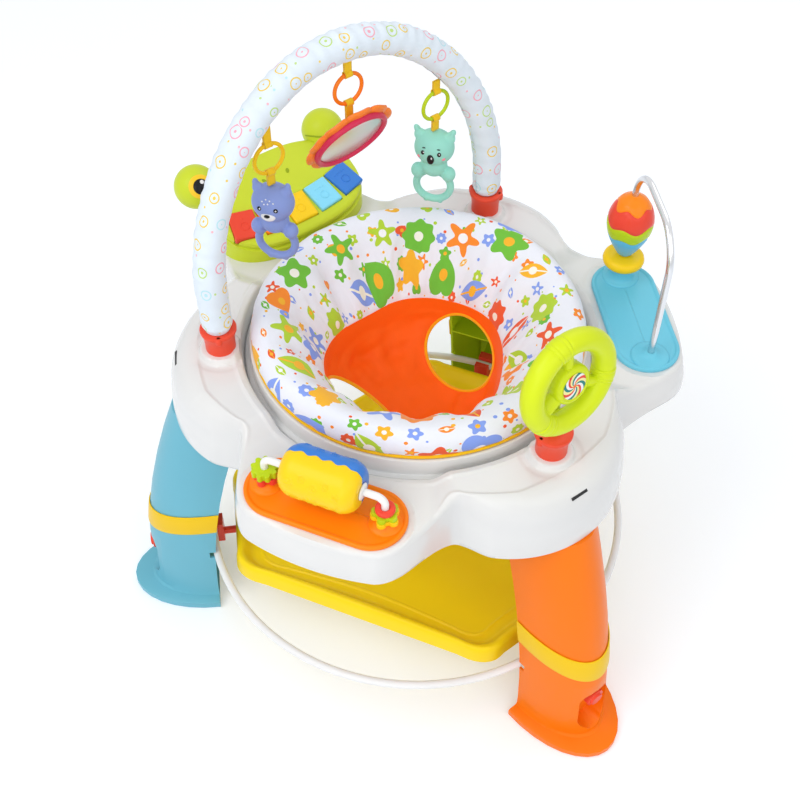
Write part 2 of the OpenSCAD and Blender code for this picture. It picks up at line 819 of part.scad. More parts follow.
module mirror_rim() {
  color([0.85, 0.20, 0.33]) mirror_frame() rotate_extrude($fn = 72) {
    translate([mirror_d / 2, 0]) square([mirror_rim_w, mirror_rim_w / 2]);
    translate([mirror_d / 2 + mirror_rim_w / 2, mirror_rim_w / 2]) circle(mirror_rim_w / 2);
  }
}

module mirror_glass() {
  color([0.9, 0.93, 0.95]) mirror_frame() cylinder(h = 2.5, r = mirror_d / 2 - gap);
}

// Frog: a wedge-shaped box with a sloped face, two ball eyes and five keys along its mouth
face_t = 10;
frog_wall = 14;
frog_floor = 5;
board_half = 0.6 * frog_w;
board_t = 1.6;
speaker_h = 12;
frog_steps = 64;
frog_power = 2.6;
eye_place = [frog_d - 3, frog_w - 6, face_h + 17];
eye_axis = unit([-0.6, -0.6, -0.53]);
axle_r = 3;
axle_len = eye_d / 2 + 12;
key_pitch = key_w + 4;
key_smile = 2.4;
key_turn = 7;
key_rise = 4;

function squircle(x_half, y_half) = [
  for (k = [0:frog_steps - 1]) let (a = 360 * k / frog_steps) [
    x_half * sign(cos(a)) * pow(abs(cos(a)), 2 / frog_power),
    y_half * sign(sin(a)) * pow(abs(sin(a)), 2 / frog_power)
  ]
];

// Frame of the sloped face, with z square to it
module on_face() {
  place(frog_dir, frog_u, station_z + face_h) rotate([0, -face_slope, 0]) children();
}

module eye_at(side) {
  place(frog_dir, frog_u, station_z) translate([eye_place[0], side * eye_place[1], eye_place[2]]) children();
}

module eye_axle(side, r, length) {
  axis = [eye_axis[0], side * eye_axis[1], eye_axis[2]];
  rotate([0, acos(axis[2]), atan2(axis[1], axis[0])]) cylinder(h = length, r = r);
}

module eye_sockets() {
  for (side = [-1, 1]) eye_at(side) {
    sphere(eye_d / 2 + gap);
    eye_axle(side, axle_r + run_fit, axle_len + gap);
  }
}

module frog_base() {
  color(lime) difference() {
    place(frog_dir, frog_u, station_z) linear_extrude(3 * face_h) polygon(squircle(frog_d, frog_w));
    on_face() translate([-3 * frog_d, -2 * frog_w, -face_t]) cube([6 * frog_d, 4 * frog_w, 6 * face_h]);
    place(frog_dir, frog_u, station_z + frog_floor) linear_extrude(3 * face_h)
      polygon(squircle(frog_d - frog_wall, frog_w - frog_wall));
    eye_sockets();
  }
}

module key_shape(i, grow, from_z, to_z) {
  k = i - 2;
  translate([-28 + key_smile * k * k, -k * key_pitch, from_z]) rotate([0, 0, k * key_turn])
    translate([-key_len / 2 - grow, -key_w / 2 - grow, 0])
      cube([key_len + 2 * grow, key_w + 2 * grow, to_z - from_z]);
}

function face_row(share, z) = let (x_half = frog_d / cos(face_slope))
  [for (p = squircle(x_half * share, frog_w * share)) [p[0], p[1], z]];

module frog_face() {
  color(lime) difference() {
    on_face() difference() {
      skin([
        face_row(1, -face_t), face_row(1, -5), face_row(0.985, -2), face_row(0.95, -0.4), face_row(0.9, 0)
      ]);
      for (i = [0:4]) key_shape(i, 0.5, -2 * face_t, face_t);
    }
    eye_sockets();
  }
}

module frog_eye(side) {
  color(lime) eye_at(side) {
    sphere(eye_d / 2);
    eye_axle(side, axle_r, axle_len);
  }
}

module frog_eye_left() { frog_eye(1); }
module frog_eye_right() { frog_eye(-1); }

module frog_board() {
  color([0.1, 0.45, 0.25]) place(frog_dir, frog_u, station_z + frog_floor)
    translate([-0.59 * frog_d, -board_half, 0]) cube([0.62 * frog_d, 2 * board_half, board_t]);
}

module frog_speaker() {
  color([0.2, 0.2, 0.22]) place(frog_dir, frog_u + 0.4 * frog_d, station_z + frog_floor) {
    cylinder(h = speaker_h / 2, r = 0.29 * frog_d);
    cylinder(h = speaker_h, r = 0.17 * frog_d);
  }
}

module key(i) {
  on_face() key_shape(i, 0, key_travel + gap - face_t, key_rise);
}

module key_red() { color(red) key(0); }
module key_orange() { color(orange) key(1); }
module key_yellow() { color(yellow) key(2); }
module key_sky() { color([0.53, 0.87, 0.98]) key(3); }
module key_blue() { color(blue) key(4); }

// Stations: a stadium plate with two domed bosses that hold the feet of a bent rod
plate_z = station_z + plate_t;
boss_r = 15;
dish_r = 19;
boss_h = 8;
tall_boss_h = 21;
rod_r = rod_d / 2;
rod_bend = 10;

module boss(y, h, r) {
  translate([0, y, plate_t]) rotate_extrude()
    polygon([[0, 0], [r + 3, 0], [r, 2], [r - 3, h - 1.5], [r - 6, h], [0, h]]);
}

module plate(deg, far_h, r) {
  place(deg, plate_u, station_z) difference() {
    union() {
      linear_extrude(plate_t) stadium(plate_half, plate_r);
      boss(-rod_half, boss_h, r);
      boss(rod_half, far_h, r);
    }
    for (side = [-1, 1]) translate([0, side * rod_half, 2]) cylinder(h = 40, r = rod_r + run_fit);
  }
}

module plate_front() { color(orange) plate(front_dir, boss_h, boss_r); }
module plate_right() { color(sky) plate(right_dir, tall_boss_h, dish_r); }

// Bent rod: two posts, two round bends and a straight top of any height
module bent_rod(h, bend) {
  straight = rod_half - bend;
  for (side = [-1, 1]) {
    translate([0, side * rod_half, 2 - plate_t]) cylinder(h = h - bend - 2 + plate_t, r = rod_r);
    translate([0, side * straight, h - bend]) rotate([90, 0, 90]) rotate([0, 0, side > 0 ? 0 : 90])
      rotate_extrude(angle = 90, $fn = 96) translate([bend, 0]) circle(rod_r);
  }
  if (straight > 0) translate([0, -straight, h]) rotate([-90, 0, 0]) cylinder(h = 2 * straight, r = rod_r);
}

module rod_front() {
  color(white) place(front_dir, plate_u, plate_z) bent_rod(front_rod_h, rod_bend);
}

// Drum: two half shells that close round the front rod
drum_wall = 3;
drum_round = 11;
drum_split = 6;

module drum_half(turn) {
  half = drum_len / 2;
  r = drum_d / 2;
  place(front_dir, plate_u, plate_z + front_rod_h) rotate([-90, 0, 0]) difference() {
    intersection() {
      rotate_extrude($fn = 72) polygon([
        [0, -half], [r - drum_round, -half], [r - 4, -half + 4], [r, -half + drum_round],
        [r, half - drum_round], [r - 4, half - 4], [r - drum_round, half], [0, half]
      ]);
      rotate([0, 0, turn]) translate([0, -drum_d, -drum_len]) cube([drum_d, 2 * drum_d, 2 * drum_len]);
    }
    translate([0, 0, -half + drum_wall]) cylinder(h = drum_len - 2 * drum_wall, r = r - drum_round);
    cylinder(h = 2 * drum_len, r = rod_r + run_fit, center = true);
  }
}

module drum_front() { color(yellow) drum_half(-drum_split); }
module drum_back() { color(blue) drum_half(180 - drum_split); }

// Beads: lobed discs threaded on the rod's posts
module bead(y, low, h, core_r, lobe_r, lobes) {
  place(front_dir, plate_u, plate_z) translate([0, y, low]) linear_extrude(h) difference() {
    union() {
      circle(core_r);
      if (lobes > 0) for (k = [0:lobes - 1])
        rotate(360 * k / lobes) translate([core_r, 0]) circle(lobe_r, $fn = 32);
    }
    circle(rod_r + run_fit);
  }
}

left_y = -rod_half;
right_y = rod_half;
bead_low = boss_h + gap;
thick = 8.6;
thin = 5.8;

module bead_star_red() { color(red) bead(left_y, bead_low, thick, 9.6, 4.6, 5); }
module bead_gear() { color(lime) bead(left_y, bead_low + thick + gap, thick, 11.5, 3, 9); }
module bead_star_yellow() { color(yellow) bead(right_y, bead_low, thin, 10.5, 5, 5); }
module bead_star_lime() { color(lime) bead(right_y, bead_low + thin + gap, thin, 9.6, 4.6, 5); }
module bead_ring() { color(red) bead(right_y, bead_low + 2 * (thin + gap), thin, 10.5, 0, 0); }

// Right rod: a tall hoop with a disc and a balloon spinner on its far post
module rod_right() {
  color(white) place(right_dir, plate_u, plate_z) bent_rod(right_rod_h, hoop_bend);
}

disc_low = tall_boss_h + gap;
disc_h = 14;
balloon_low = disc_low + disc_h + gap;
balloon_shares = [0, 0.4, 0.59, 0.84, 1];

module on_far_post(z) {
  place(right_dir, plate_u, plate_z) translate([0, rod_half, z]) children();
}

module spin_disc() {
  color(yellow) on_far_post(disc_low) difference() {
    rotate_extrude() polygon([
      [0, 0], [balloon_d * 0.36, 0], [balloon_d * 0.46, 4], [balloon_d * 0.46, disc_h - 4],
      [balloon_d * 0.36, disc_h], [0, disc_h]
    ]);
    translate([0, 0, -over]) cylinder(h = disc_h + 2 * over, r = rod_r + run_fit);
  }
}

// Radius of the balloon over its height, narrow below and full above
function balloon_full(t) = 0.25 + 0.75 * pow(sin(180 * pow(t, 1.25)), 0.7);
function balloon_r(t) = balloon_d / 2 * balloon_full(t) * (t > 0.92 ? 1 - 3.5 * (t - 0.92) : 1);

module balloon_part(i) {
  low = balloon_shares[i];
  high = balloon_shares[i + 1];
  pieces = 6;
  on_far_post(balloon_low) difference() {
    rotate_extrude() polygon(concat(
      [[0, low * balloon_h]],
      [for (k = [0:pieces]) let (t = blend(low, high, k / pieces)) [balloon_r(t), t * balloon_h]],
      [[0, high * balloon_h]]
    ));
    translate([0, 0, -over]) cylinder(h = 2 * balloon_h, r = rod_r + run_fit);
  }
}

module balloon_sky() { color(sky) balloon_part(0); }
module balloon_lime() { color(lime) balloon_part(1); }
module balloon_red() { color(red) balloon_part(2); }
module balloon_orange() { color(orange) balloon_part(3); }

// Toy wheel: it turns on an axle at the top of a stalk that stands in the third collar
hub_r = 22;
hub_half = 9;
axle_d = 8;
stalk_clear = 2;
wheel_off = stalk_d / 2 + wheel_rim / 2 + stalk_clear;

// Frame of the leaning stalk, with its origin in the collar's floor
module on_stalk() {
  place(leg_dirs[1], collar_r, tray_z + collar_floor) children();
}

stalk_foot = collar_h - collar_floor;

module wheel_frame() {
  on_stalk() translate([0, 0, stalk_foot]) rotate([0, -wheel_lean, 0]) translate([0, 0, hub_h]) children();
}

module wheel_stalk() {
  color(lime) {
    on_stalk() cylinder(h = stalk_foot, d = stalk_d);
    on_stalk() translate([0, 0, stalk_foot]) sphere(d = stalk_d);
    on_stalk() translate([0, 0, stalk_foot]) rotate([0, -wheel_lean, 0]) cylinder(h = hub_h, d = stalk_d);
    wheel_frame() sphere(d = stalk_d);
    wheel_frame() rotate([0, 90, 0]) cylinder(h = wheel_off - hub_half - gap, d = stalk_d - 2);
    wheel_frame() rotate([0, 90, 0]) cylinder(h = wheel_off + hub_half - 3, d = axle_d);
  }
}

module toy_wheel() {
  color(lime) wheel_frame() translate([wheel_off, 0, 0]) rotate([0, 90, 0]) difference() {
    union() {
      bar_ring(wheel_d / 2, wheel_rim / 2);
      rotate_extrude() polygon([
        [0, -hub_half], [hub_r, -hub_half], [hub_r, hub_half - 4], [hub_r - 6, hub_half], [0, hub_half]
      ]);
      for (k = [0:2]) rotate([0, 0, 60 + 120 * k]) rotate([0, 90, 0]) cylinder(h = wheel_d / 2, r = 7);
    }
    translate([0, 0, -2 * hub_half]) cylinder(h = 3 * hub_half - 2, r = axle_d / 2 + run_fit);
  }
}

leg_left();
leg_right();
leg_back();
leg_bands();
floor_ring();
ring_saddles();
lock_pin_left();
lock_pin_right();
lock_pin_back();
platform();
tray_shell();
seat_ring();
seat_retainer();
seat_pad();
seat_sling();
arch_collars();
wheel_collar();
arch_tube();
arch_sleeve();
sewn_loops();
ring_left();
bear_strap();
bear_rattle();
ring_middle();
mirror_strap();
mirror_petals();
mirror_rim();
mirror_glass();
ring_right();
koala_strap();
koala_rattle();
frog_base();
frog_face();
frog_eye_left();
frog_eye_right();
frog_board();
frog_speaker();
key_red();
key_orange();
key_yellow();
key_sky();
key_blue();
plate_front();
rod_front();
drum_front();
drum_back();
bead_gear();
bead_star_red();
bead_ring();
bead_star_lime();
bead_star_yellow();
plate_right();
rod_right();
spin_disc();
balloon_sky();
balloon_lime();
balloon_red();
balloon_orange();
wheel_stalk();
toy_wheel();
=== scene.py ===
"""Looks of a free-standing baby jumper: legs, foot platform, tray, fabric seat, toy arch and toys."""
import math
import bmesh
import bpy
from mathutils import Matrix, Vector, noise


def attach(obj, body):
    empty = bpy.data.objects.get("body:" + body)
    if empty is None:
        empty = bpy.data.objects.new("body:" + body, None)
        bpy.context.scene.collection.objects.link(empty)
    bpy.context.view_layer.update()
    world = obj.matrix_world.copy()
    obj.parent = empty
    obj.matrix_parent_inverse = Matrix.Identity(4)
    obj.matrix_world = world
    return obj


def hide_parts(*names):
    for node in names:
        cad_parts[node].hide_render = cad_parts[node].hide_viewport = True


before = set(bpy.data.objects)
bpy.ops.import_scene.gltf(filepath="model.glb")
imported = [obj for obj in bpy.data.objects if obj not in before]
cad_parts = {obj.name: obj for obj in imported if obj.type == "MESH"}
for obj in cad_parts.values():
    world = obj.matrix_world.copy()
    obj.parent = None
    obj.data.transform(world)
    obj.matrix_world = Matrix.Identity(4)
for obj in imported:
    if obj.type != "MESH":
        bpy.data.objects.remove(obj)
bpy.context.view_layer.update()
scene = bpy.context.scene
scene.view_settings.view_transform = "Standard"

# Camera: high in front of the jumper and a little to its right, looking down over the tray
# into the seat, with the whole object inside a square picture.
camera_at = Vector((0.345, -0.892, 1.419))
camera_aim = Vector((-0.0142, -0.0203, 0.330))
camera = bpy.data.objects.new("camera", bpy.data.cameras.new("camera"))
camera.data.lens = 53.9
camera.data.sensor_width = 36
camera.location = camera_at
camera.rotation_euler = (camera_aim - camera_at).to_track_quat("-Z", "Y").to_euler()
scene.collection.objects.link(camera)
scene.camera = camera


# Studio: a wide white paper floor under soft daylight lamps and a pale surround, as in a catalogue
# picture. The eye and shiny faces see the surround as plain white; its other light is weaker.
def add_node(tree, kind, inputs=None, **settings):
    made = tree.nodes.new("ShaderNode" + kind)
    for key, value in settings.items():
        setattr(made, key, value)
    for key, value in (inputs or {}).items():
        if isinstance(value, bpy.types.NodeSocket):
            tree.links.new(value, made.inputs[key])
        else:
            made.inputs[key].default_value = value
    return made


def calc(tree, operation, a, b=0.0, c=0.0):
    return add_node(tree, "Math", {0: a, 1: b, 2: c}, operation=operation).outputs[0]


def seen_directly(tree):
    path = add_node(tree, "LightPath").outputs
    mirrored = calc(tree, "MAXIMUM", path["Is Glossy Ray"], path["Is Transmission Ray"])
    return calc(tree, "MAXIMUM", path["Is Camera Ray"], mirrored)


world = bpy.data.worlds.new("studio")
world.use_nodes = True
scene.world = world
surround = world.node_tree.nodes["Background"]
surround.inputs["Color"].default_value = (1, 1, 1, 1)
surround_level = calc(world.node_tree, "MULTIPLY_ADD", seen_directly(world.node_tree), 0.36, 0.64)
world.node_tree.links.new(surround_level, surround.inputs["Strength"])

for lamp_name, lamp_at, lamp_size, lamp_power in (
    ("key_lamp", (-1.1, -1.5, 2.7), 1.6, 25),
    ("fill_lamp", (1.7, -0.9, 2.0), 1.8, 10),
    ("back_lamp", (0.3, 1.9, 2.4), 1.8, 10),
    ("front_lamp", (0.3, -2.0, 1.5), 1.6, 11),
):
    lamp = bpy.data.objects.new(lamp_name, bpy.data.lights.new(lamp_name, "AREA"))
    lamp.data.size = lamp_size
    lamp.data.energy = lamp_power
    lamp.location = lamp_at
    lamp.rotation_euler = (Vector((0, 0, 0.35)) - Vector(lamp_at)).to_track_quat("-Z", "Y").to_euler()
    scene.collection.objects.link(lamp)


def as_mesh(name, bm):
    data = bpy.data.meshes.new(name)
    bm.to_mesh(data)
    bm.free()
    return data


floor_sheet = bmesh.new()
bmesh.ops.create_grid(floor_sheet, x_segments=1, y_segments=1, size=12)
floor_data = as_mesh("studio_floor", floor_sheet)
studio_floor = bpy.data.objects.new("studio_floor", floor_data)
studio_floor.location.z = -0.0006
scene.collection.objects.link(studio_floor)
floor_paper = bpy.data.materials.new("floor_paper")
floor_paper.use_nodes = True
paper_tree = floor_paper.node_tree
paper = paper_tree.nodes["Principled BSDF"]
paper.inputs["Base Color"].default_value = (0.85, 0.885, 0.935, 1)
paper.inputs["Roughness"].default_value = 0.9
paper.inputs["Emission Color"].default_value = (1, 1, 1, 1)
paper_glow = calc(paper_tree, "MULTIPLY", seen_directly(paper_tree), 0.22)
paper_tree.links.new(paper_glow, paper.inputs["Emission Strength"])
floor_data.materials.append(floor_paper)


# Legs: three splayed shells of coloured moulded plastic, open towards the seat, each with a flange at
# its foot and an oval niche for its knob. They plug into the tray's lobes from below.
grey = (0.8, 0.8, 0.8, 1)


def effect_group(name, inputs, outputs):
    """A node group: its tree, the sockets it is given and the sockets it puts out."""
    tree = bpy.data.node_groups.new(name, "ShaderNodeTree")
    for label, (kind, default) in inputs.items():
        socket = tree.interface.new_socket(label, in_out="INPUT", socket_type="NodeSocket" + kind)
        socket.default_value = default
    for label, kind in outputs.items():
        tree.interface.new_socket(label, in_out="OUTPUT", socket_type="NodeSocket" + kind)
    return tree, tree.nodes.new("NodeGroupInput").outputs, tree.nodes.new("NodeGroupOutput").inputs


def moulded_group():
    tree, given, put = effect_group("moulded skin", {"Colour": ("Color", grey), "Gloss": ("Float", 0.3)},
                                    {"Colour": "Color", "Roughness": "Float", "Height": "Float"})
    where = add_node(tree, "TexCoord").outputs["Object"]
    flow = add_node(tree, "TexNoise", {"Vector": where, "Scale": 9.0, "Detail": 3.0}).outputs[0]
    grain = add_node(tree, "TexNoise", {"Vector": where, "Scale": 1400.0, "Detail": 2.0}).outputs[0]
    shade = calc(tree, "MULTIPLY_ADD", flow, 0.10, 0.95)
    tint = add_node(tree, "HueSaturation", {"Color": given["Colour"], "Value": shade}).outputs[0]
    tree.links.new(tint, put["Colour"])
    uneven = calc(tree, "MULTIPLY_ADD", flow, 0.16, -0.08)
    tree.links.new(calc(tree, "ADD", given["Gloss"], uneven), put["Roughness"])
    tree.links.new(grain, put["Height"])
    return tree


moulded_skin = moulded_group()


def moulded(name, colour, gloss=0.3, coat=0.04, bump=0.06, metallic=0.0):
    """Moulded plastic or bare metal with a fine grain."""
    material = bpy.data.materials.new(name)
    material.use_nodes = True
    tree = material.node_tree
    shader = tree.nodes["Principled BSDF"]
    skin = add_node(tree, "Group", node_tree=moulded_skin)
    skin.inputs["Colour"].default_value = (*colour, 1)
    skin.inputs["Gloss"].default_value = gloss
    relief = add_node(tree, "Bump", {"Strength": bump, "Distance": 0.0004, "Height": skin.outputs["Height"]})
    tree.links.new(skin.outputs["Colour"], shader.inputs["Base Color"])
    tree.links.new(skin.outputs["Roughness"], shader.inputs["Roughness"])
    tree.links.new(relief.outputs[0], shader.inputs["Normal"])
    shader.inputs["Metallic"].default_value = metallic
    shader.inputs["Coat Weight"].default_value = coat
    shader.inputs["Coat Roughness"].default_value = 0.12
    shader.inputs["Specular IOR Level"].default_value = 0.17
    return material


def solid_copy(name):
    """A merged copy of a CAD node, ready for rounding."""
    bm = bmesh.new()
    bm.from_mesh(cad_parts[name].data)
    bmesh.ops.remove_doubles(bm, verts=bm.verts, dist=2e-6)
    bmesh.ops.dissolve_limit(bm, angle_limit=math.radians(0.6), verts=bm.verts, edges=bm.edges)
    return bm


def piece(name, bm, material, body, replaces=(), place=None, sharp=35, rounded=0.0, levels=0):
    """Finishes a mesh as a piece that rides on a body and may stand for CAD nodes."""
    if place is not None:
        bmesh.ops.transform(bm, matrix=place, verts=bm.verts)
    data = as_mesh(name, bm)
    for face in data.polygons:
        face.use_smooth = True
    data.set_sharp_from_angle(angle=math.radians(sharp))
    data.materials.append(material)
    made = bpy.data.objects.new(name, data)
    scene.collection.objects.link(made)
    if rounded:
        edge = made.modifiers.new("rounded_edges", "BEVEL")
        edge.width = rounded
        edge.segments = 3
        edge.limit_method = "ANGLE"
        edge.angle_limit = math.radians(32)
        edge.harden_normals = True
    if levels:
        smooth = made.modifiers.new("smooth_skin", "SUBSURF")
        smooth.levels = smooth.render_levels = levels
    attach(made, body)
    if replaces:
        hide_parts(*replaces)
    return made


def radial(deg, u=0.0, z=0.0):
    return Matrix.Rotation(math.radians(deg), 4, "Z") @ Matrix.Translation((u, 0, z))


def blend(a, b, t):
    return a + (b - a) * t


leg_dirs = {"left": 210, "right": 330, "back": 90}
leg_in, leg_out, leg_half = 276, 361.5, 51
shoulder_in, shoulder_out, shoulder_z = 205.5, 284, 372
flange_front, flange_side = 28, 14


def leg_size(z, flare=0.0):
    """Inner face, depth and half width of a leg's half-oval section at a height, in millimetres."""
    bow = (z / shoulder_z) ** 2
    back, front = blend(leg_in, shoulder_in, bow), blend(leg_out, shoulder_out, bow)
    return back, front + flange_front * flare - back, leg_half + flange_side * flare


# Height and flare of the solid's foot, then the height and flare that they are drawn to.
foot_rows = [(0, 0.96, 0, 0.96), (2, 1, 2, 1), (11, 1, 11, 1), (14, 0.92, 12.6, 0.8), (18, 0.55, 13.6, 0.16),
             (24, 0.17, 17, 0.03), (31, 0, 31, 0)]


def stepped_foot(bm, deg):
    """Draws the soft flare of a foot into a wall that stands on a flat flange."""
    into_leg = Matrix.Rotation(math.radians(-deg), 4, "Z")
    for vert in bm.verts:
        at = into_leg @ vert.co * 1000
        for low, high in zip(foot_rows, foot_rows[1:]):
            if low[0] <= at.z < high[0]:
                share = (at.z - low[0]) / (high[0] - low[0])
                was, level, flare = (blend(a, b, share) for a, b in zip(low[1:], high[1:]))
                back, deep, half = leg_size(at.z, was)
                c, s = (at.x - back) / deep, at.y / half
                if abs(c * c + s * s - 1) < 0.02 and c > -0.01:
                    back, deep, half = leg_size(level, flare)
                    vert.co = into_leg.inverted() @ Vector((back + deep * c, half * s, level)) / 1000
                break
    return bm


leg_finishes = {
    "left": (moulded("leg_blue", (0.158, 0.475, 0.60), gloss=0.36), "sky_plastic"),
    "right": (moulded("leg_orange", (0.95, 0.195, 0.003), gloss=0.36), "orange_plastic"),
    "back": (moulded("leg_lime", (0.50, 0.66, 0.012), gloss=0.36), "lime_plastic"),
}
for side, (leg_finish, leg_slot) in leg_finishes.items():
    leg_name = "leg_" + side
    leg_shape = stepped_foot(solid_copy(leg_name), leg_dirs[side])
    piece(leg_name + "_shell", leg_shape, leg_finish, "frame", [leg_name], rounded=0.0016)


# Bands: a flat yellow strap of moulded plastic clipped round the outside of each leg, dipping in front
# above the knob. Its edges are rounded and its ends close on the leg.
def formed(across, along, place, uv=None):
    """A grid of faces laid over a surface: place(s, t) gives the point in millimetres."""
    bm = bmesh.new()
    chart = bm.loops.layers.uv.new("chart") if uv else None
    unit = Matrix.Translation((0.5, 0.5, 0))
    bmesh.ops.create_grid(bm, x_segments=across, y_segments=along, size=0.5, matrix=unit)
    if uv:
        for face in bm.faces:
            for corner in face.loops:
                corner[chart].uv = uv(corner.vert.co.x, corner.vert.co.y)
    for vert in bm.verts:
        vert.co = Vector(place(vert.co.x, vert.co.y)) / 1000
    bmesh.ops.remove_doubles(bm, verts=bm.verts, dist=1e-6)
    bmesh.ops.recalc_face_normals(bm, faces=bm.faces)
    return bm


def joined(*parts):
    """One mesh from several."""
    bm = bmesh.new()
    for part in parts:
        shell = as_mesh("shell", part)
        bm.from_mesh(shell)
        bpy.data.meshes.remove(shell)
    return bm


def moved(bm, matrix):
    bmesh.ops.transform(bm, matrix=matrix, verts=bm.verts)
    return bm


band_low, band_high, band_dip, band_steps = 157, 35.5, 20, 50
band_profile = [(0.4, 0), (1.2, 0), (1.6, 0.012), (1.8, 0.04), (1.8, 0.5), (1.8, 0.96), (1.6, 0.988), (1.2, 1),
                (0.4, 1), (0.4, 0)]


def band_place(s, t):
    a = math.pi * (min(1.0, max(0.0, (s * band_steps - 1) / (band_steps - 2))) - 0.5)
    out, share = band_profile[round(t * (len(band_profile) - 1))]
    if not 0.001 < s < 0.999:
        out = band_profile[0][0]
    z = band_low + band_high * share - band_dip * max(0.0, math.cos(a)) ** 1.6
    back, deep, half = leg_size(z)
    return back + (deep + out) * math.cos(a), (half + out) * math.sin(a), z


band_yellow = moulded("band_yellow", (0.88, 0.565, 0.005), gloss=0.36)
band_straps = []
for deg in leg_dirs.values():
    band_straps.append(moved(formed(band_steps, len(band_profile) - 1, band_place), radial(deg)))
piece("leg_band_straps", joined(*band_straps), band_yellow, "frame", ["leg_bands"], sharp=50)

# Floor ring and knobs: a white coated wire hoop that ties the three legs together, held in red saddles.
# The knobs are eight-sided, and their pins slide through the legs into the platform.
ring_white = moulded("ring_white", (0.86, 0.86, 0.86), gloss=0.28)
knob_red = moulded("knob_red", (0.86, 0.075, 0.035), gloss=0.3)


def swept(bm, geom, steps):
    """Sweeps a closed outline once round Z."""
    bmesh.ops.spin(bm, geom=geom, angle=2 * math.pi, steps=steps, axis=(0, 0, 1), cent=(0, 0, 0),
                   use_merge=True)


def torus(radius, bar, steps, across):
    """A round ring of round bar, flat about Z, in metres."""
    bm = bmesh.new()
    upright = Matrix.Translation((radius, 0, 0)) @ Matrix.Rotation(math.pi / 2, 4, "X")
    bmesh.ops.create_circle(bm, segments=across, radius=bar, matrix=upright)
    swept(bm, bm.verts[:] + bm.edges[:], steps)
    bmesh.ops.recalc_face_normals(bm, faces=bm.faces)
    return bm


hoop_r, hoop_bar, hoop_z = 0.272, 0.005, 0.105
piece("floor_hoop", torus(hoop_r, hoop_bar, 200, 16), ring_white, "frame", ["floor_ring"],
      place=Matrix.Translation((0, 0, hoop_z)))
piece("hoop_saddles", solid_copy("ring_saddles"), knob_red, "frame", ["ring_saddles"],
      rounded=0.0008)
for side in leg_dirs:
    pin = "lock_pin_" + side
    piece("knob_" + side, solid_copy(pin), knob_red, "pin_" + side, [pin], rounded=0.0012)


# Platform: a shallow yellow dish for the feet, moulded with a rounded rim, a raised line inside it
# and three sockets under its corners that take the lock pins.
def turned(profile, steps=64):
    """A lathe shape about Z from a closed profile of (radius, height) in millimetres."""
    bm = bmesh.new()
    ring = [bm.verts.new((r / 1000, 0, z / 1000)) for r, z in profile]
    edges = [bm.edges.new((a, b)) for a, b in zip(ring, ring[1:] + ring[:1])]
    swept(bm, ring + edges, steps)
    bmesh.ops.remove_doubles(bm, verts=bm.verts, dist=1e-6)
    bmesh.ops.dissolve_degenerate(bm, edges=bm.edges, dist=1e-7)
    bmesh.ops.recalc_face_normals(bm, faces=bm.faces)
    return bm


def ease(t):
    t = min(1.0, max(0.0, t))
    return t * t * (3 - 2 * t)


def around(radius, turn, height):
    """A point at a radius from Z, turned about it."""
    return radius * math.cos(turn), radius * math.sin(turn), height


def from_station(deg):
    """Degrees to the middle of the nearest toy station."""
    turn = (deg + 330) % 120
    return min(turn, 120 - turn)


def deck_reach(deg):
    """How far the platform reaches: three long sides with rounded corners towards the legs."""
    off = math.radians(from_station(deg))
    side, corner = 190 / math.cos(off), 243 / math.cos(math.radians(60) - off)
    share = min(1.0, max(0.0, 0.5 + 0.5 * (corner - side) / 34))
    return blend(corner, side, share) - 17 * share * (1 - share)


# Inset from the outline and height, from the middle below round the rim to the middle on top.
deck_profile = [
    (999, 99), (33, 99), (8, 95.6), (5, 95), (0.8, 95), (0, 95.8), (0.3, 101), (0.9, 108), (1.7, 114),
    (2.6, 117.6), (3.8, 120), (5.4, 121.5), (7.2, 122), (9.2, 121.6), (11.2, 120.6), (13.4, 118), (16, 113.6),
    (19, 108.8), (22, 105.8), (25, 104.5), (28, 104), (33, 104), (34.2, 104.3), (35.2, 105.1), (36.4, 105.3),
    (37.6, 105.1), (38.6, 104.3), (40, 104), (70, 104), (999, 104),
]


def deck_place(s, t):
    inset, height = deck_profile[round(t * (len(deck_profile) - 1))]
    reach = max(0.0, deck_reach(360 * s) - inset)
    return around(reach, math.radians(360 * s), height)


deck_yellow = moulded("deck_yellow", (1.0, 0.73, 0.008), gloss=0.33)
socket_profile = [(5.06, 0), (8.4, 0), (9, 0.6), (9, 30), (5.06, 30)]
deck_parts = [formed(240, len(deck_profile) - 1, deck_place)]
for deg in leg_dirs.values():
    socket_place = radial(deg, 0.213, 0.087) @ Matrix.Rotation(math.pi / 2, 4, "Y")
    deck_parts.append(moved(turned(socket_profile, 32), socket_place))
piece("foot_platform", joined(*deck_parts), deck_yellow, "frame", ["platform"])


# Tray: one white moulded shell with three toy stations, three humped lobes over the legs and a round
# well for the seat. A bead runs round the well and the station pockets, a raised boss round each collar,
# and each lobe has a slot in its rounded side, drawn as a thin black block: painted shadow for its inside.
def tray_reach(off):
    """How far the tray reaches, by the angle from a station's middle to its waist and on to a lobe."""
    lobe = min(1.0, (60 - off) / 30)
    return 240 + 68 * ease((33 - off) / 20) + 48 * (1 - lobe * lobe) * ease((1.03 - lobe) / 0.34)


def from_spot(x, y, deg, radius):
    """A point's way outwards and sideways from a spot on the tray."""
    c, s = math.cos(math.radians(deg)), math.sin(math.radians(deg))
    return x * c + y * s - radius, -x * s + y * c


collar_r, boss_r, station_r, plate_r, plate_half = 224, 24, 255, 38, 51
tray_top, pocket_depth, skirt_low, lobe_skirt, well_r = 436, 12, 380, 28, 206


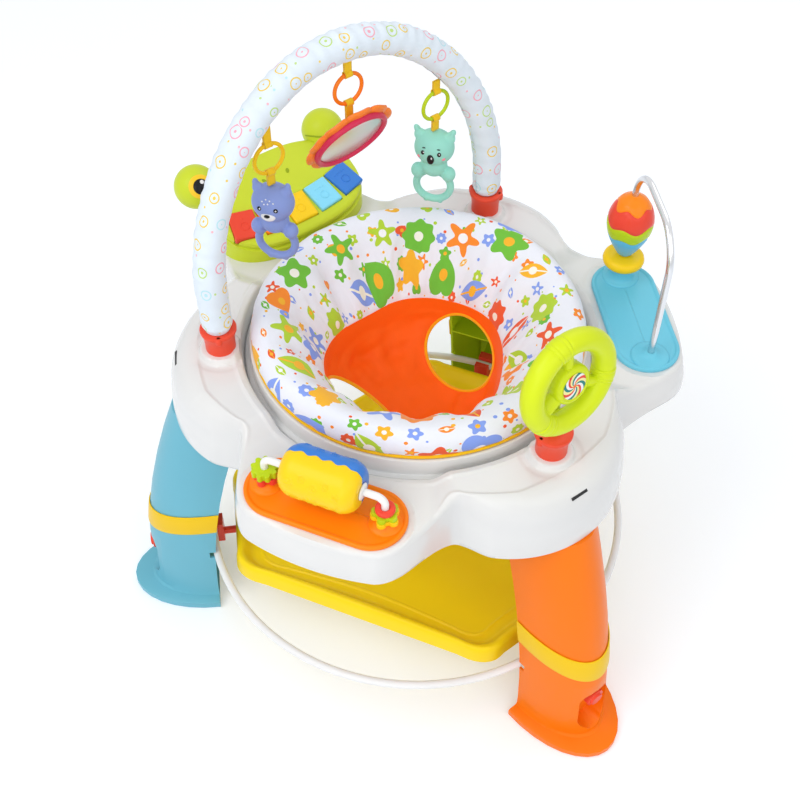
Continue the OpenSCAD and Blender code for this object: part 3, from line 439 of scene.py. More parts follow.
def tray_relief(x, y):
    """Height of the beads and bosses on the deck."""
    lift = 1.5 * math.exp(-((math.hypot(x, y) - 210) / 2.3) ** 2)
    for deg in leg_dirs.values():
        share = math.hypot(*from_spot(x, y, deg, collar_r)) / boss_r
        lift += 5.6 * ease((1.08 - share) / 0.16) - 1.2 * ease((1.5 - share) / 0.2) * ease((share - 1.02) / 0.1)
    for deg in (270, 30):
        u, v = from_spot(x, y, deg, station_r)
        edge = math.hypot(max(0.0, abs(v) - plate_half), u) - plate_r
        lift += 1.3 * math.exp(-((edge - 7) / 1.5) ** 2)
    return lift


def tray_section(deg):
    """The shell's closed section in one direction: under the deck, down the skirt, up and over the top."""
    off = from_station(deg)
    share = ease((off - 25) / 7)
    reach = tray_reach(off)
    top = tray_top - pocket_depth * (1 - share)
    low = skirt_low - lobe_skirt * ease((off - 21) / 13)
    drop = blend(8, 38, ease((off - 27) / 12))
    edge = reach - blend(5, 3, share)
    flat = blend(edge - 8, min(edge - 5, 252 - 1.25 * max(0.0, 46 - off)), ease((off - 27) / 6))
    bend = edge - flat

    def crest(radius):
        """Low rounded line where the deck meets the swelling side of a lobe."""
        return 1.6 * share * math.exp(-((radius - flat) / 2.6) ** 2)

    rows = [(193.5, 409), (203, 409), (204.5, top - 3), (flat, top - 3)]
    for a in (0.5, 1.05, math.pi / 2):
        rows.append((flat + (bend - 3) * math.sin(a), top - drop + (drop - 3) * math.cos(a)))
    rows += [(reach - 3, low + 0.5), (reach - 2.4, low), (reach - 0.6, low), (reach, low + 0.6)]
    for t in (0.12, 0.25, 0.5, 0.75, 1):
        rows.append((blend(reach, edge, t) + 1.6 * math.sin(math.pi * t), blend(low + 0.6, top - drop, t)))
    for k in range(9):
        a = math.pi / 2 * (1 - (k + 1) / 10)
        radius = flat + bend * math.sin(a)
        rows.append((radius, top - drop + drop * math.cos(a) + crest(radius)))
    for k in range(31):
        radius = blend(flat, well_r, (k / 30) ** 1.35)
        rows.append((radius, top + crest(radius)))
    return rows + [(204.2, top - 0.5), (202.7, top - 1.7), (201.8, top - 3.6), (200.5, 414), (200, 412.3),
                   (199.5, 412), (194, 412), (193.5, 411.5), (193.5, 409)]


tray_rows = len(tray_section(0))
first_top_row, last_top_row = 16, 56
tray_cache = {}


def tray_place(s, t):
    deg = 360 * s
    if deg not in tray_cache:
        tray_cache[deg] = tray_section(deg)
    row = round(t * (tray_rows - 1))
    radius, height = tray_cache[deg][row]
    x, y, height = around(radius, math.radians(deg), height)
    if first_top_row <= row <= last_top_row:
        height += tray_relief(x, y) * ease((row - first_top_row) / 6)
    return x, y, height


tray_white = moulded("tray_white", (0.745, 0.745, 0.738), gloss=0.22, coat=0.35)
tray_shape = formed(720, tray_rows - 1, tray_place)
piece("tray_moulding", tray_shape, tray_white, "frame", ["tray_shell"], sharp=40)
# The slots are not cut: a thin black block on each lobe is painted shadow for the inside of its slot.
slot_painted_shadow = moulded("slot_painted_shadow", (0.03, 0.03, 0.032), gloss=0.4)
slot_size = Matrix.Translation((0, -0.006, 0)) @ Matrix.Diagonal((0.0032, 0.021, 0.0012, 1))
lobe_slots = bmesh.new()
for deg in leg_dirs.values():
    slot_place = radial(deg, 0.2765, 0.4228) @ Matrix.Rotation(math.radians(45), 4, "Y") @ slot_size
    bmesh.ops.create_cube(lobe_slots, size=1, matrix=slot_place)
piece("lobe_slots", lobe_slots, slot_painted_shadow, "frame")

# Seat ring: a white ring that turns on the tray's ledge, with a rounded lip that the pad is sewn over.
# A flat retainer under the tray holds it down.
seat_ring_profile = [
    (187.5, 404.7), (192.5, 404.7), (192.5, 412.3), (198.2, 412.3), (199, 413), (199, 415.4), (198, 416.3),
    (193.4, 416.6), (192.5, 417.6), (192.5, 436.6), (192, 437.9), (190.6, 438.5), (189, 438.4), (187.9, 437.7),
    (187.5, 436.4),
]
piece("seat_turn_ring", turned(seat_ring_profile, 240), tray_white, "seat", ["seat_ring"])


def finish(name, material):
    """Puts a material on a CAD node that shows as it is."""
    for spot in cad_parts[name].material_slots:
        spot.material = material


finish("seat_retainer", tray_white)


# Seat pad: a stuffed ring of printed cotton over the seat ring's lip, sloping down to the mouth where
# the sling is sewn on. It is swollen as cloth under pressure, and then drawn into soft folds.
def closed_curve(points, count):
    """Evenly numbered points on a smooth closed curve through the given ones."""
    made = []
    for k in range(count):
        spot = k * len(points) / count
        i, f = int(spot), spot % 1
        a, b, c, d = (Vector(points[(i + j) % len(points)]) for j in (-1, 0, 1, 2))
        square, cubic = 2 * a - 5 * b + 4 * c - d, 3 * b - 3 * c + d - a
        made.append(0.5 * (2 * b + (c - a) * f + square * f * f + cubic * f ** 3))
    return made


pad_rows = 72
pad_outline = closed_curve([
    (187, 440.5), (190.8, 446), (190.6, 454), (186.5, 462.5), (178.5, 468.8), (168, 470.4), (156.5, 466.6),
    (146, 458.5), (136.8, 446), (129, 431), (122, 414.5), (116.6, 400), (114.5, 392.4), (118.5, 391.6),
    (126.5, 402), (137, 417), (149, 432), (161, 441), (174, 443.4), (182, 440.4),
], pad_rows)
pad_lengths = [0.0]
for here, there in zip(pad_outline, pad_outline[1:] + pad_outline[:1]):
    pad_lengths.append(pad_lengths[-1] + (there - here).length)


def pad_place(s, t):
    row = round(t * pad_rows) % pad_rows
    spot = pad_outline[row]
    tangent = pad_outline[(row + 1) % pad_rows] - pad_outline[row - 1]
    inward = Vector((-tangent.y, tangent.x)).normalized() * 1.2
    return around(spot.x + inward.x, 2 * math.pi * s, spot.y + inward.y)


def pad_chart(s, t):
    return 2 * math.pi * s * 0.158, pad_lengths[round(t * pad_rows)] / 1000


def swollen(bm, pressure, reach, held):
    """Swells a closed shape as cloth; reach caps each point's way, held picks the sewn points."""
    data = as_mesh("swollen", bm)
    work = bpy.data.objects.new("swollen", data)
    scene.collection.objects.link(work)
    sewn = work.vertex_groups.new(name="sewn")
    sewn.add([v.index for v in data.vertices if held(v.co)], 1.0, "ADD")
    cloth_rule = work.modifiers.new("cloth", "CLOTH")
    cloth_rule.settings.use_pressure = True
    cloth_rule.settings.uniform_pressure_force = pressure
    cloth_rule.settings.vertex_group_mass = "sewn"
    cloth_rule.settings.effector_weights.gravity = 0
    for step in range(1, 21):
        scene.frame_set(step)
    grown = work.evaluated_get(bpy.context.evaluated_depsgraph_get()).to_mesh()
    for vert, end in zip(data.vertices, [v.co.copy() for v in grown.vertices]):
        way = end - vert.co
        vert.co = vert.co + way * min(1.0, reach / max(way.length, 1e-9))
    work.modifiers.clear()
    scene.frame_set(1)
    made = bmesh.new()
    made.from_mesh(data)
    bpy.data.objects.remove(work)
    return made


def pad_sewn(point):
    radius, height = math.hypot(point.x, point.y) * 1000, point.z * 1000
    return height < 394 or (height < 444 and radius > 170)


pad_shape = swollen(formed(264, pad_rows, pad_place, pad_chart), 4.0, 0.006, pad_sewn)
pad_shape.normal_update()
# Each fold's direction and width in degrees, and its depth in millimetres.
pad_folds = [(7, 5, 6.4), (38, 8, 4.4), (63, 5, 7), (92, 9, 4.6), (118, 5, 6.6), (141, 7, 5), (163, 5, 7),
             (196, 9, 4.6), (221, 5, 6), (243, 7, 4.2), (266, 8, 6), (292, 6, 4.6), (313, 7, 6.2), (338, 7, 5)]
pad_layer = pad_shape.loops.layers.uv["chart"]


def mouth_lean(deg):
    """How far the stuffed lip leans in over the mouth, in millimetres."""
    lean = 4
    for middle, width, push in ((150, 38, 15), (15, 35, 12), (90, 30, 6)):
        lean += push * math.exp(-(((deg - middle + 180) % 360 - 180) / width) ** 2)
    return lean


pad_mouth = pad_lengths[43] - 3
for vert in pad_shape.verts:
    run = vert.link_loops[0][pad_layer].uv.y * 1000
    deg = math.degrees(math.atan2(vert.co.y, vert.co.x)) % 360
    inside = ease((run - 42) / 50) * ease((pad_mouth - run) / 16)
    draw = 0.0
    for fold_deg, fold_width, fold_depth in pad_folds:
        off = (deg - fold_deg - 0.05 * (run - 90) + 180) % 360 - 180
        valley = math.exp(-(off / fold_width) ** 2)
        crest = math.exp(-((abs(off) - 2 * fold_width) / fold_width) ** 2)
        draw += fold_depth * inside * (valley - 0.35 * crest)
    outside = ease((30 - run) / 22) * ease(run / 5)
    gather = math.sin(math.radians(deg) * 46 + 3 * noise.noise(vert.co * 9))
    draw += 0.9 * outside * (0.5 + 0.5 * gather)
    soft = noise.noise(vert.co * 26) * 0.9 + noise.noise(vert.co * 60) * 0.35
    lean = mouth_lean(deg) * ease((440 - vert.co.z * 1000) / 46) / 1000
    vert.co -= vert.normal * (draw - soft * ease(run / 8)) / 1000
    vert.co -= Vector(around(lean, math.radians(deg), 0.4 * lean))


def cloth_group():
    inputs = {"Vector": ("Vector", (0, 0, 0)), "Colour": ("Color", grey), "Thread": ("Float", 0.0009)}
    tree, given, put = effect_group("woven cloth", inputs, {"Colour": "Color", "Height": "Float"})
    pitch = calc(tree, "DIVIDE", math.pi, given["Thread"])
    axes = add_node(tree, "SeparateXYZ", {0: given["Vector"]}).outputs
    warp = calc(tree, "SINE", calc(tree, "MULTIPLY", axes[0], pitch))
    weft = calc(tree, "SINE", calc(tree, "MULTIPLY", axes[1], pitch))
    weave = calc(tree, "MULTIPLY", warp, weft)
    slub = add_node(tree, "TexNoise", {"Vector": given["Vector"], "Scale": 260.0, "Detail": 3.0}).outputs[0]
    height = calc(tree, "MULTIPLY_ADD", calc(tree, "ABSOLUTE", weave), 0.6, calc(tree, "MULTIPLY", slub, 0.4))
    soft = add_node(tree, "TexNoise", {"Vector": given["Vector"], "Scale": 24.0, "Detail": 2.0}).outputs[0]
    patchy = calc(tree, "MULTIPLY", soft, 0.07)
    # Lighter on raised threads and slubs, darker between threads: painted shade in the weave; the soft patches
    # are random tone.
    shade = calc(tree, "ADD", calc(tree, "MULTIPLY_ADD", height, 0.07, 0.92), patchy)
    tint = add_node(tree, "HueSaturation", {"Color": given["Colour"], "Value": shade}).outputs[0]
    tree.links.new(tint, put["Colour"])
    tree.links.new(height, put["Height"])
    return tree


woven_cloth = cloth_group()


def cloth(name, colour=None, thread=0.0009, bump=0.25, chart="chart", sheen=0.25, rough=0.85,
          print_colour=None):
    """Cloth in one colour, or in a print that print_colour(tree, vector) draws."""
    material = bpy.data.materials.new(name)
    material.use_nodes = True
    tree = material.node_tree
    shader = tree.nodes["Principled BSDF"]
    if chart:
        where = add_node(tree, "UVMap", uv_map=chart).outputs[0]
    else:
        where = add_node(tree, "TexCoord").outputs["Object"]
    weave = add_node(tree, "Group", {"Vector": where, "Thread": thread}, node_tree=woven_cloth)
    if print_colour:
        tree.links.new(print_colour(tree, where), weave.inputs["Colour"])
    else:
        weave.inputs["Colour"].default_value = (*colour, 1)
    relief = add_node(tree, "Bump", {"Strength": bump, "Distance": 0.0004, "Height": weave.outputs["Height"]})
    tree.links.new(weave.outputs["Colour"], shader.inputs["Base Color"])
    tree.links.new(relief.outputs[0], shader.inputs["Normal"])
    shader.inputs["Roughness"].default_value = rough
    shader.inputs["Sheen Weight"].default_value = sheen
    shader.inputs["Sheen Roughness"].default_value = 0.4
    shader.inputs["Specular IOR Level"].default_value = 0.25
    return material


def mixed(tree, mask, under, over):
    """Colour over another where the mask is 1."""
    mix = add_node(tree, "Mix", data_type="RGBA", clamp_factor=True)
    for socket, value in ((mix.inputs["Factor"], mask), (mix.inputs[6], under), (mix.inputs[7], over)):
        if isinstance(value, bpy.types.NodeSocket):
            tree.links.new(value, socket)
        else:
            socket.default_value = value if isinstance(value, float) else (*value, 1)
    return mix.outputs[2]


def palette(tree, pick, colours):
    """One of several colours, picked by a value from 0 to 1."""
    ramp = add_node(tree, "ValToRGB", {"Fac": pick})
    ramp.color_ramp.interpolation = "CONSTANT"
    while len(ramp.color_ramp.elements) < len(colours):
        ramp.color_ramp.elements.new(1.0)
    for k, colour in enumerate(colours):
        ramp.color_ramp.elements[k].position = k / len(colours)
        ramp.color_ramp.elements[k].color = (*colour, 1)
    return ramp.outputs[0]


def vector_math(tree, operation, a, b=(0, 0, 0)):
    return add_node(tree, "VectorMath", {0: a, 1: b}, operation=operation).outputs


def scattered(tree, where, cell, spread):
    """Local place, distance, direction and random values of the nearest of many scattered spots."""
    spots = add_node(tree, "TexVoronoi", {"Vector": where, "Scale": 1 / cell, "Randomness": spread},
                     voronoi_dimensions="2D")
    local = vector_math(tree, "SUBTRACT", where, spots.outputs["Position"])[0]
    chance = add_node(tree, "SeparateColor", {0: spots.outputs["Color"]}).outputs
    turn = calc(tree, "MULTIPLY", chance[0], 6.283)
    facing = add_node(tree, "VectorRotate", {"Vector": local, "Angle": turn}, rotation_type="Z_AXIS").outputs[0]
    axes = add_node(tree, "SeparateXYZ", {0: facing}).outputs
    away = vector_math(tree, "LENGTH", local)["Value"]
    heading = calc(tree, "ARCTAN2", axes[1], axes[0])
    return axes, away, heading, chance


sun_yellow, fresh_lime, warm_red = (0.93, 0.47, 0.03), (0.46, 0.66, 0.045), (0.84, 0.11, 0.035)
warm_orange, soft_blue, sea_green = (0.95, 0.27, 0.03), (0.24, 0.36, 0.86), (0.17, 0.52, 0.05)


def seat_print(tree, where):
    """Flowers, hearts, leaves, stars and suns on a pale ground, with small dots between."""
    def below(value, limit):
        return calc(tree, "LESS_THAN", value, limit)

    def times(a, b):
        return calc(tree, "MULTIPLY", a, b)

    def lobed(share, count, heading, size, power=1.0):
        wave = calc(tree, "MULTIPLY_ADD", calc(tree, "COSINE", times(heading, count)), 0.5, 0.5)
        return times(calc(tree, "MULTIPLY_ADD", calc(tree, "POWER", wave, power), share, 1 - share), size)

    def heart(x, y):
        hx, hy = times(x, 1.25), calc(tree, "MULTIPLY_ADD", y, 1.25, 0.12)
        hx2 = times(hx, hx)
        ring = calc(tree, "ADD", calc(tree, "MULTIPLY_ADD", hy, hy, -1.0), hx2)
        return below(times(times(ring, ring), ring), times(hx2, times(hy, times(hy, hy))))

    def motif(ground, cell, size, shift):
        moved_by = vector_math(tree, "ADD", where, (shift, 0.4 * shift, 0))[0]
        axes, away, heading, chance = scattered(tree, moved_by, cell, 0.45)
        radius = calc(tree, "MULTIPLY_ADD", chance[2], 0.35 * size, 0.8 * size)
        x, y = calc(tree, "DIVIDE", axes[0], radius), calc(tree, "DIVIDE", axes[1], radius)
        across = calc(tree, "ABSOLUTE", y)
        flower = below(away, lobed(0.34, 5.0, heading, radius))
        leaf = below(across, times(calc(tree, "SUBTRACT", 1.0, times(x, x)), 0.5))
        star = below(away, lobed(0.52, 5.0, heading, radius, 1.6))
        sun = below(away, lobed(0.16, 8.0, heading, radius))
        kind = calc(tree, "FLOOR", times(chance[1], 5.0))
        mask = 0.0
        for k, shape in enumerate((flower, heart(x, y), leaf, star, sun)):
            mask = calc(tree, "MULTIPLY_ADD", shape, calc(tree, "COMPARE", kind, float(k), 0.3), mask)
        tones = (fresh_lime, warm_orange, soft_blue, sun_yellow, warm_red, fresh_lime, soft_blue, sea_green)
        tone = palette(tree, calc(tree, "FRACT", times(chance[2], 7.3)), tones)
        pales = ((0.9, 0.9, 0.92), sun_yellow, (0.92, 0.9, 0.8))
        inner = palette(tree, calc(tree, "FRACT", times(chance[1], 9.1)), pales)
        vein = times(below(across, 0.05), calc(tree, "COMPARE", kind, 2.0, 0.3))
        centre = times(calc(tree, "MAXIMUM", below(away, times(radius, 0.27)), vein), mask)
        return mixed(tree, centre, mixed(tree, mask, ground, tone), inner)

    shifted = vector_math(tree, "ADD", where, (0.31, 0.17, 0))[0]
    _, away, _, chance = scattered(tree, shifted, 0.0165, 0.9)
    inside = below(away, calc(tree, "MULTIPLY_ADD", chance[2], 0.0014, 0.0009))
    dot = times(inside, calc(tree, "GREATER_THAN", chance[1], 0.45))
    dot_tone = palette(tree, chance[0], (soft_blue, fresh_lime, warm_red, sun_yellow, warm_orange))
    dotted = mixed(tree, dot, (0.83, 0.85, 0.93), dot_tone)
    return motif(motif(dotted, 0.031, 0.0084, 0.23), 0.056, 0.0228, 0.71)


pad_cotton = cloth("pad_cotton", thread=0.0008, bump=0.18, print_colour=seat_print)
seat_cover = piece("seat_cover", pad_shape, pad_cotton, "seat", ["seat_pad"], sharp=180,
                   levels=1)

# Piping: a thin yellow cord covered in cloth, sewn into the pad's lower outer seam, where it lies on
# the seat ring's lip.
pipe_yellow = cloth("pipe_yellow", (0.93, 0.52, 0.01), thread=0.0012, chart=None)
pipe_r, pipe_bar, pipe_z = 0.1878, 0.0019, 0.4409
piece("seat_piping", torus(pipe_r, pipe_bar, 200, 12), pipe_yellow, "seat",
      place=Matrix.Translation((0, 0, pipe_z)))


# Sling: a bag of orange nylon sewn under the lip of the mouth, with two round leg openings bound in
# yellow tape. What is left between the openings is the strip that the child sits on.
opening_span = 0.86


def sling_mid(s, c):
    """Point of the bag, by its share along the seat and across it, both from -1 to 1."""
    half, way = abs(s), 1 if s >= 0 else -1
    band = max(0.0, (half - opening_span) / (1 - opening_span))
    x = min(1.0, half / opening_span)
    round_it, arc = math.pi * (x - 0.5), math.pi / 2 * (0.3 + 0.7 * x * x)
    edge = Vector((57 * math.cos(round_it), 77 + 35.3 * math.sin(round_it)))
    middle = (112.3 - 8 * way) * math.sin(math.pi / 2 * x ** 0.8)
    bulge = (math.cos(arc * c) - math.cos(arc)) / (1 - math.cos(arc))
    u = 8 + way * blend(edge.x, middle, bulge)
    v = edge.y * math.sin(arc * c) / math.sin(arc)
    away, turn = min(114.6, math.hypot(u, v)), math.atan2(v, u) + math.radians(150)
    z = blend(390.2 - 78 * math.sqrt(1 - (away / 115) ** 2), 393, band)
    lean = mouth_lean(math.degrees(turn)) * (away / 115) ** 4
    away = blend(away, 115.6, band) - lean
    loose = (1 - band) * (1 - abs(c) ** 6) * ease(1.6 - 1.6 * x)
    place = Vector(around(away, turn, z - 0.4 * lean))
    crease = noise.noise(Vector((place.x / 46, place.y / 46, place.z / 20))) * 5
    crease += noise.noise(Vector((place.x / 17, place.y / 30, place.z / 14 + 7))) * 4
    crease += noise.noise(Vector((turn * 5, away / 60, 3))) * 3 * ease((away - 40) / 50)
    return place + Vector((0, 0, crease * loose)) - place.xy.to_3d() * (0.012 * crease * loose)


def sling_place(s, t):
    return sling_mid(2 * t - 1, 2 * s - 1)


def sling_chart(s, t):
    return 0.36 * (s - 0.5), 0.3 * (t - 0.5)


def thicken(made, name, wall, offset=0):
    """Gives a piece made as one layer of faces its wall, in millimetres."""
    layer = made.modifiers.new(name, "SOLIDIFY")
    layer.thickness, layer.offset = wall / 1000, offset


sling_nylon = cloth("sling_nylon", (1.0, 0.13, 0.0), thread=0.0007, bump=0.2, sheen=0.03, rough=0.6)
sling_shape = formed(60, 172, sling_place, sling_chart)
sling_area = sum(face.calc_area() for face in sling_shape.faces)
sling_sheet = piece("sling_cloth", sling_shape, sling_nylon, "seat", ["seat_sling"], sharp=180)
thicken(sling_sheet, "cloth_thickness", 1.4)


def tube(path, bar, closed=False, sides=12, flat=1.0):
    """A round or flattened bar along a path of points in millimetres."""
    count = len(path)
    frames = []
    side = None
    for i in range(count):
        if closed:
            heading = (path[(i + 1) % count] - path[i - 1]).normalized()
        else:
            heading = (path[min(i + 1, count - 1)] - path[max(i - 1, 0)]).normalized()
        if side is None:
            side = heading.orthogonal().normalized()
        side = (side - heading * side.dot(heading)).normalized()
        frames.append((side.copy(), heading.cross(side)))
    rows = count if closed else count - 1

    def place(s, t):
        i = round(t * rows) % count
        a = 2 * math.pi * s
        across, up = frames[i]
        return path[i] + across * (bar * math.cos(a)) + up * (bar * flat * math.sin(a))
    bm = formed(sides, rows, place)
    if not closed:
        bmesh.ops.holes_fill(bm, edges=[e for e in bm.edges if e.is_boundary], sides=0)
        bmesh.ops.recalc_face_normals(bm, faces=bm.faces)
    return bm


binding_tape = cloth("binding_tape", (0.95, 0.42, 0.0), thread=0.001, chart=None, rough=0.65)
bindings = []
for side in (-1, 1):
    hem = [sling_mid(blend(-opening_span, opening_span, k / 120), side) for k in range(120)]
    bindings.append(tube(hem, 2.1, closed=True))
sling_binding = piece("sling_binding", joined(*bindings), binding_tape, "seat")

# Collars: three red tulip cups with two ears each, screwed to the lobes. Two hold the arch's ends
# and the third, with a smaller bore, holds the wheel's stalk.
collar_red = moulded("collar_red", (0.83, 0.078, 0.038), gloss=0.33)
ear_profile = [(0, 25.5), (2.6, 26.2), (4, 28), (4.1, 33.5), (3.4, 35.4), (2, 36), (0, 36)]


def collar(leg, bore):
    cup = turned([
        (0, 0), (16.4, 0), (17, 0.7), (17, 15), (17.3, 20), (18.1, 25.5), (19.6, 30), (20.4, 32), (20.6, 34.6),
        (20, 35.7), (18.8, 36), (bore + 1.4, 36), (bore + 0.3, 35.5), (bore, 34.4), (bore, 2), (0, 2),
    ], 64)
    ears = [moved(turned(ear_profile, 24), Matrix.Translation((0, side * 0.018, 0))) for side in (-1, 1)]
    return moved(joined(cup, *ears), radial(leg_dirs[leg], collar_r / 1000, tray_top / 1000))


arch_bore, stalk_bore = 11.3, 7.3
arch_cups = joined(collar("left", arch_bore), collar("back", arch_bore))
piece("arch_cups", arch_cups, collar_red, "frame", ["arch_collars"])
piece("wheel_cup", collar("right", stalk_bore), collar_red, "frame", ["wheel_collar"])


# Arch: a plastic tube inside a padded sleeve of printed cotton, sewn along its underside. The sleeve
# puckers on the inside of the bend and is drawn in above the collars.
arch_half, arch_rise, arch_post, arch_low = 193.99, 221, 72, 34.4
arch_along, arch_out = Vector((0.5, 0.866025, 0)), Vector((-0.866025, 0.5, 0))
arch_middle = Vector((-193.99, -112, 0)) + arch_along * arch_half


def arch_place(run, height):
    """Point over the line between the two collars; the arch leans outwards as it rises."""
    lean = 32 * min(1.0, max(0.0, (height - 36) / 257)) ** 1.5
    return arch_middle + arch_along * run + arch_out * lean + Vector((0, 0, 438 + height))


def arch_point(share):
    """Point on the arch's middle line, from the left collar to the back one."""
    side, bend = arch_post - arch_low, math.pi * 207.5
    walk = share * (2 * side + bend)
    if walk < side:
        return arch_place(-arch_half, arch_low + walk)
    if walk > side + bend:
        return arch_place(arch_half, arch_low + 2 * side + bend - walk)
    turn = math.pi * (walk - side) / bend
    return arch_place(-arch_half * math.cos(turn), arch_post + arch_rise * math.sin(turn))


sleeve_rows, bore_rows, arch_length = 360, 60, 727.3


def sleeve_radius(s, share, here):
    """The padded cover's radius, with its puckers, seam and drawn-in ends."""
    turn, walk = 2 * math.pi * s, share * arch_length
    ends = min(share, 1 - share) * arch_length
    inner = max(0.0, -math.cos(turn)) ** 2
    bend = ease((share - 0.04) / 0.1) * ease((0.96 - share) / 0.1)
    pucker = math.sin(walk / 2.1 + 2.4 * noise.noise(Vector((walk / 30, s * 2, 0))))
    radius = 17.3 + 0.7 * noise.noise(here / 34 + Vector((0, 0, s))) - inner * bend * (0.55 + 0.75 * pucker)
    radius += 0.25 * math.sin(walk / 3.1 + turn)
    radius -= 0.9 * math.exp(-(((s - 0.5) * 2 * math.pi * 17 - 1) / 1.1) ** 2) * bend
    return radius - 3.2 * (1 - ease(ends / 9)) - 0.7 * math.exp(-((ends - 11) / 1.6) ** 2)


def sleeve_place(s, t):
    """The cover's outside from end to end, then its bore back to the first end."""
    row = round(t * (sleeve_rows + bore_rows))
    outside = row <= sleeve_rows
    share = row / sleeve_rows if outside else 1 - (row - sleeve_rows) / bore_rows
    here = arch_point(share)
    heading = (arch_point(min(1, share + 0.002)) - arch_point(max(0, share - 0.002))).normalized()
    side = heading.cross(arch_out).normalized()
    out = side.cross(heading)
    turn = 2 * math.pi * s
    radius = sleeve_radius(s, share, here) if outside else 12.2
    return here + (side * -math.cos(turn) + out * math.sin(turn)) * radius


def sleeve_chart(s, t):
    return s * 0.109, min(1.0, t * (sleeve_rows + bore_rows) / sleeve_rows) * arch_length / 1000


def sleeve_print(tree, where):
    """Fine rings and dots in soft colours on a pale ground."""
    ring_tones = ((0.86, 0.62, 0.10), (0.88, 0.40, 0.50), (0.52, 0.72, 0.22), (0.86, 0.62, 0.10),
                  (0.88, 0.42, 0.52), (0.50, 0.78, 0.86))
    dot_tones = ((0.50, 0.78, 0.88), (0.90, 0.50, 0.56), (0.88, 0.66, 0.14), (0.55, 0.74, 0.26))
    _, away, _, chance = scattered(tree, where, 0.026, 0.6)
    radius = calc(tree, "MULTIPLY_ADD", chance[1], 0.002, 0.0046)
    line = calc(tree, "LESS_THAN", calc(tree, "ABSOLUTE", calc(tree, "SUBTRACT", away, radius)), 0.0007)
    core_r = calc(tree, "MULTIPLY", radius, calc(tree, "MULTIPLY_ADD", chance[0], 0.25, 0.12))
    core = calc(tree, "LESS_THAN", away, core_r)
    tone = palette(tree, calc(tree, "FRACT", calc(tree, "MULTIPLY", chance[2], 5.7)), ring_tones)
    ringed = mixed(tree, calc(tree, "MAXIMUM", line, core), (0.76, 0.84, 0.92), tone)
    _, spot, _, luck = scattered(tree, vector_math(tree, "ADD", where, (0.41, 0.29, 0))[0], 0.017, 0.8)
    clear = calc(tree, "GREATER_THAN", away, calc(tree, "ADD", radius, 0.002))
    chosen = calc(tree, "MULTIPLY", clear, calc(tree, "GREATER_THAN", luck[1], 0.4))
    dot = calc(tree, "MULTIPLY", calc(tree, "LESS_THAN", spot, 0.0013), chosen)
    return mixed(tree, dot, ringed, palette(tree, luck[0], dot_tones))


sleeve_cotton = cloth("sleeve_cotton", thread=0.0008, bump=0.2, print_colour=sleeve_print)
sleeve_shape = formed(44, sleeve_rows + bore_rows, sleeve_place, sleeve_chart)
arch_cover = piece("arch_cover", sleeve_shape, sleeve_cotton, "frame", ["arch_sleeve"],
                   sharp=180)
finish("arch_tube", ring_white)

# Sewn loops and toy straps: short yellow webbing folded round the rings. The loops are stitched into
# the sleeve's underside, and each strap goes down into its toy.
hang_points = [Vector((-0.166652, -0.010323, 0.655884)), Vector((-0.116987, 0.085118, 0.693909)),
               Vector((-0.052293, 0.178032, 0.629976))]
loop_lengths = [27, 21.5, 17.5]
hang_r, toy_drop = 17.75, 75.5
web_yellow = cloth("web_yellow", (0.90, 0.56, 0.01), thread=0.0011, bump=0.4, chart=None, rough=0.6)


def hang(i, drop=0.0):
    """Frame of a hung toy, so many millimetres under its loop."""
    turn = Matrix.Rotation(math.radians(330), 4, "Z")
    return Matrix.Translation(hang_points[i]) @ turn @ Matrix.Translation((0, 0, -drop / 1000))


def folded_web(reach, up):
    """Webbing round a ring's bar at the origin, with both plies reaching up or down."""
    turn = [math.radians(-160 + 320 * k / 24) for k in range(25)]
    bow = [(3.5 * math.sin(a), -3.5 * math.cos(a)) for a in turn]
    path = [(-1.0, reach)] + [(-1.1, blend(reach, 5.5, k / 5)) for k in range(1, 6)] + bow
    path += [(1.1, blend(5.5, reach, k / 5)) for k in range(0, 5)] + [(1.0, reach)]
    flip = 1 if up else -1

    def place(s, t):
        x, z = path[round(t * (len(path) - 1))]
        return x, 9 * (s - 0.5), flip * z
    return formed(6, len(path) - 1, place)


def webbing(name, parts, body, nodes):
    strap = piece(name, joined(*parts), web_yellow, body, nodes, sharp=60)
    thicken(strap, "ply", 1.2)


web_loops = [moved(folded_web(length - 3, True), hang(i)) for i, length in enumerate(loop_lengths)]
webbing("sewn_web_loops", web_loops, "frame", ["sewn_loops"])
for toy, i, reach in (("bear", 0, 16.5), ("koala", 2, 16.5), ("mirror", 1, 34)):
    webbing(toy + "_web", [moved(folded_web(reach, False), hang(i, 2 * hang_r))], toy, [toy + "_strap"])

# Hanging rings: three closed rings of glossy plastic, in yellow, orange and lime, that link the loops
# to the toys.
hang_colours = (("left", "yellow", (0.93, 0.56, 0.01)), ("middle", "orange", (1.0, 0.22, 0.012)),
                ("right", "lime", (0.50, 0.66, 0.012)))
for i, (side, tone, colour) in enumerate(hang_colours):
    ring_finish = moulded("ring_" + tone, colour, gloss=0.25)
    ring_place = hang(i, hang_r) @ Matrix.Rotation(math.pi / 2, 4, "Y")
    piece("hang_ring_" + side, torus(hang_r / 1000, 0.00225, 72, 14), ring_finish, "ring_" + side,
          ["ring_" + side], place=ring_place)


# Animal rattles: soft one-piece mouldings of a bear and a koala, each with its paws on a handle ring.
# Their eyes, noses, cheeks and freckles are small pads standing just proud of the face. The small white
# pads on the eyes and on the koala's nose are painted highlights.
def ball(radii, at, turn=Matrix.Identity(4)):
    """An egg of three radii at a place in millimetres."""
    bm = bmesh.new()
    size = Matrix.Diagonal((*(r / 1000 for r in radii), 1))
    shape = Matrix.Translation(Vector(at) / 1000) @ turn @ size
    bmesh.ops.create_uvsphere(bm, u_segments=32, v_segments=20, radius=1, matrix=shape)
    return bm


def pair(radii, x, y, z, shift=0):
    """Two balls, left and right of the middle."""
    return [ball(radii, (x, side * y + shift, z)) for side in (-1, 1)]


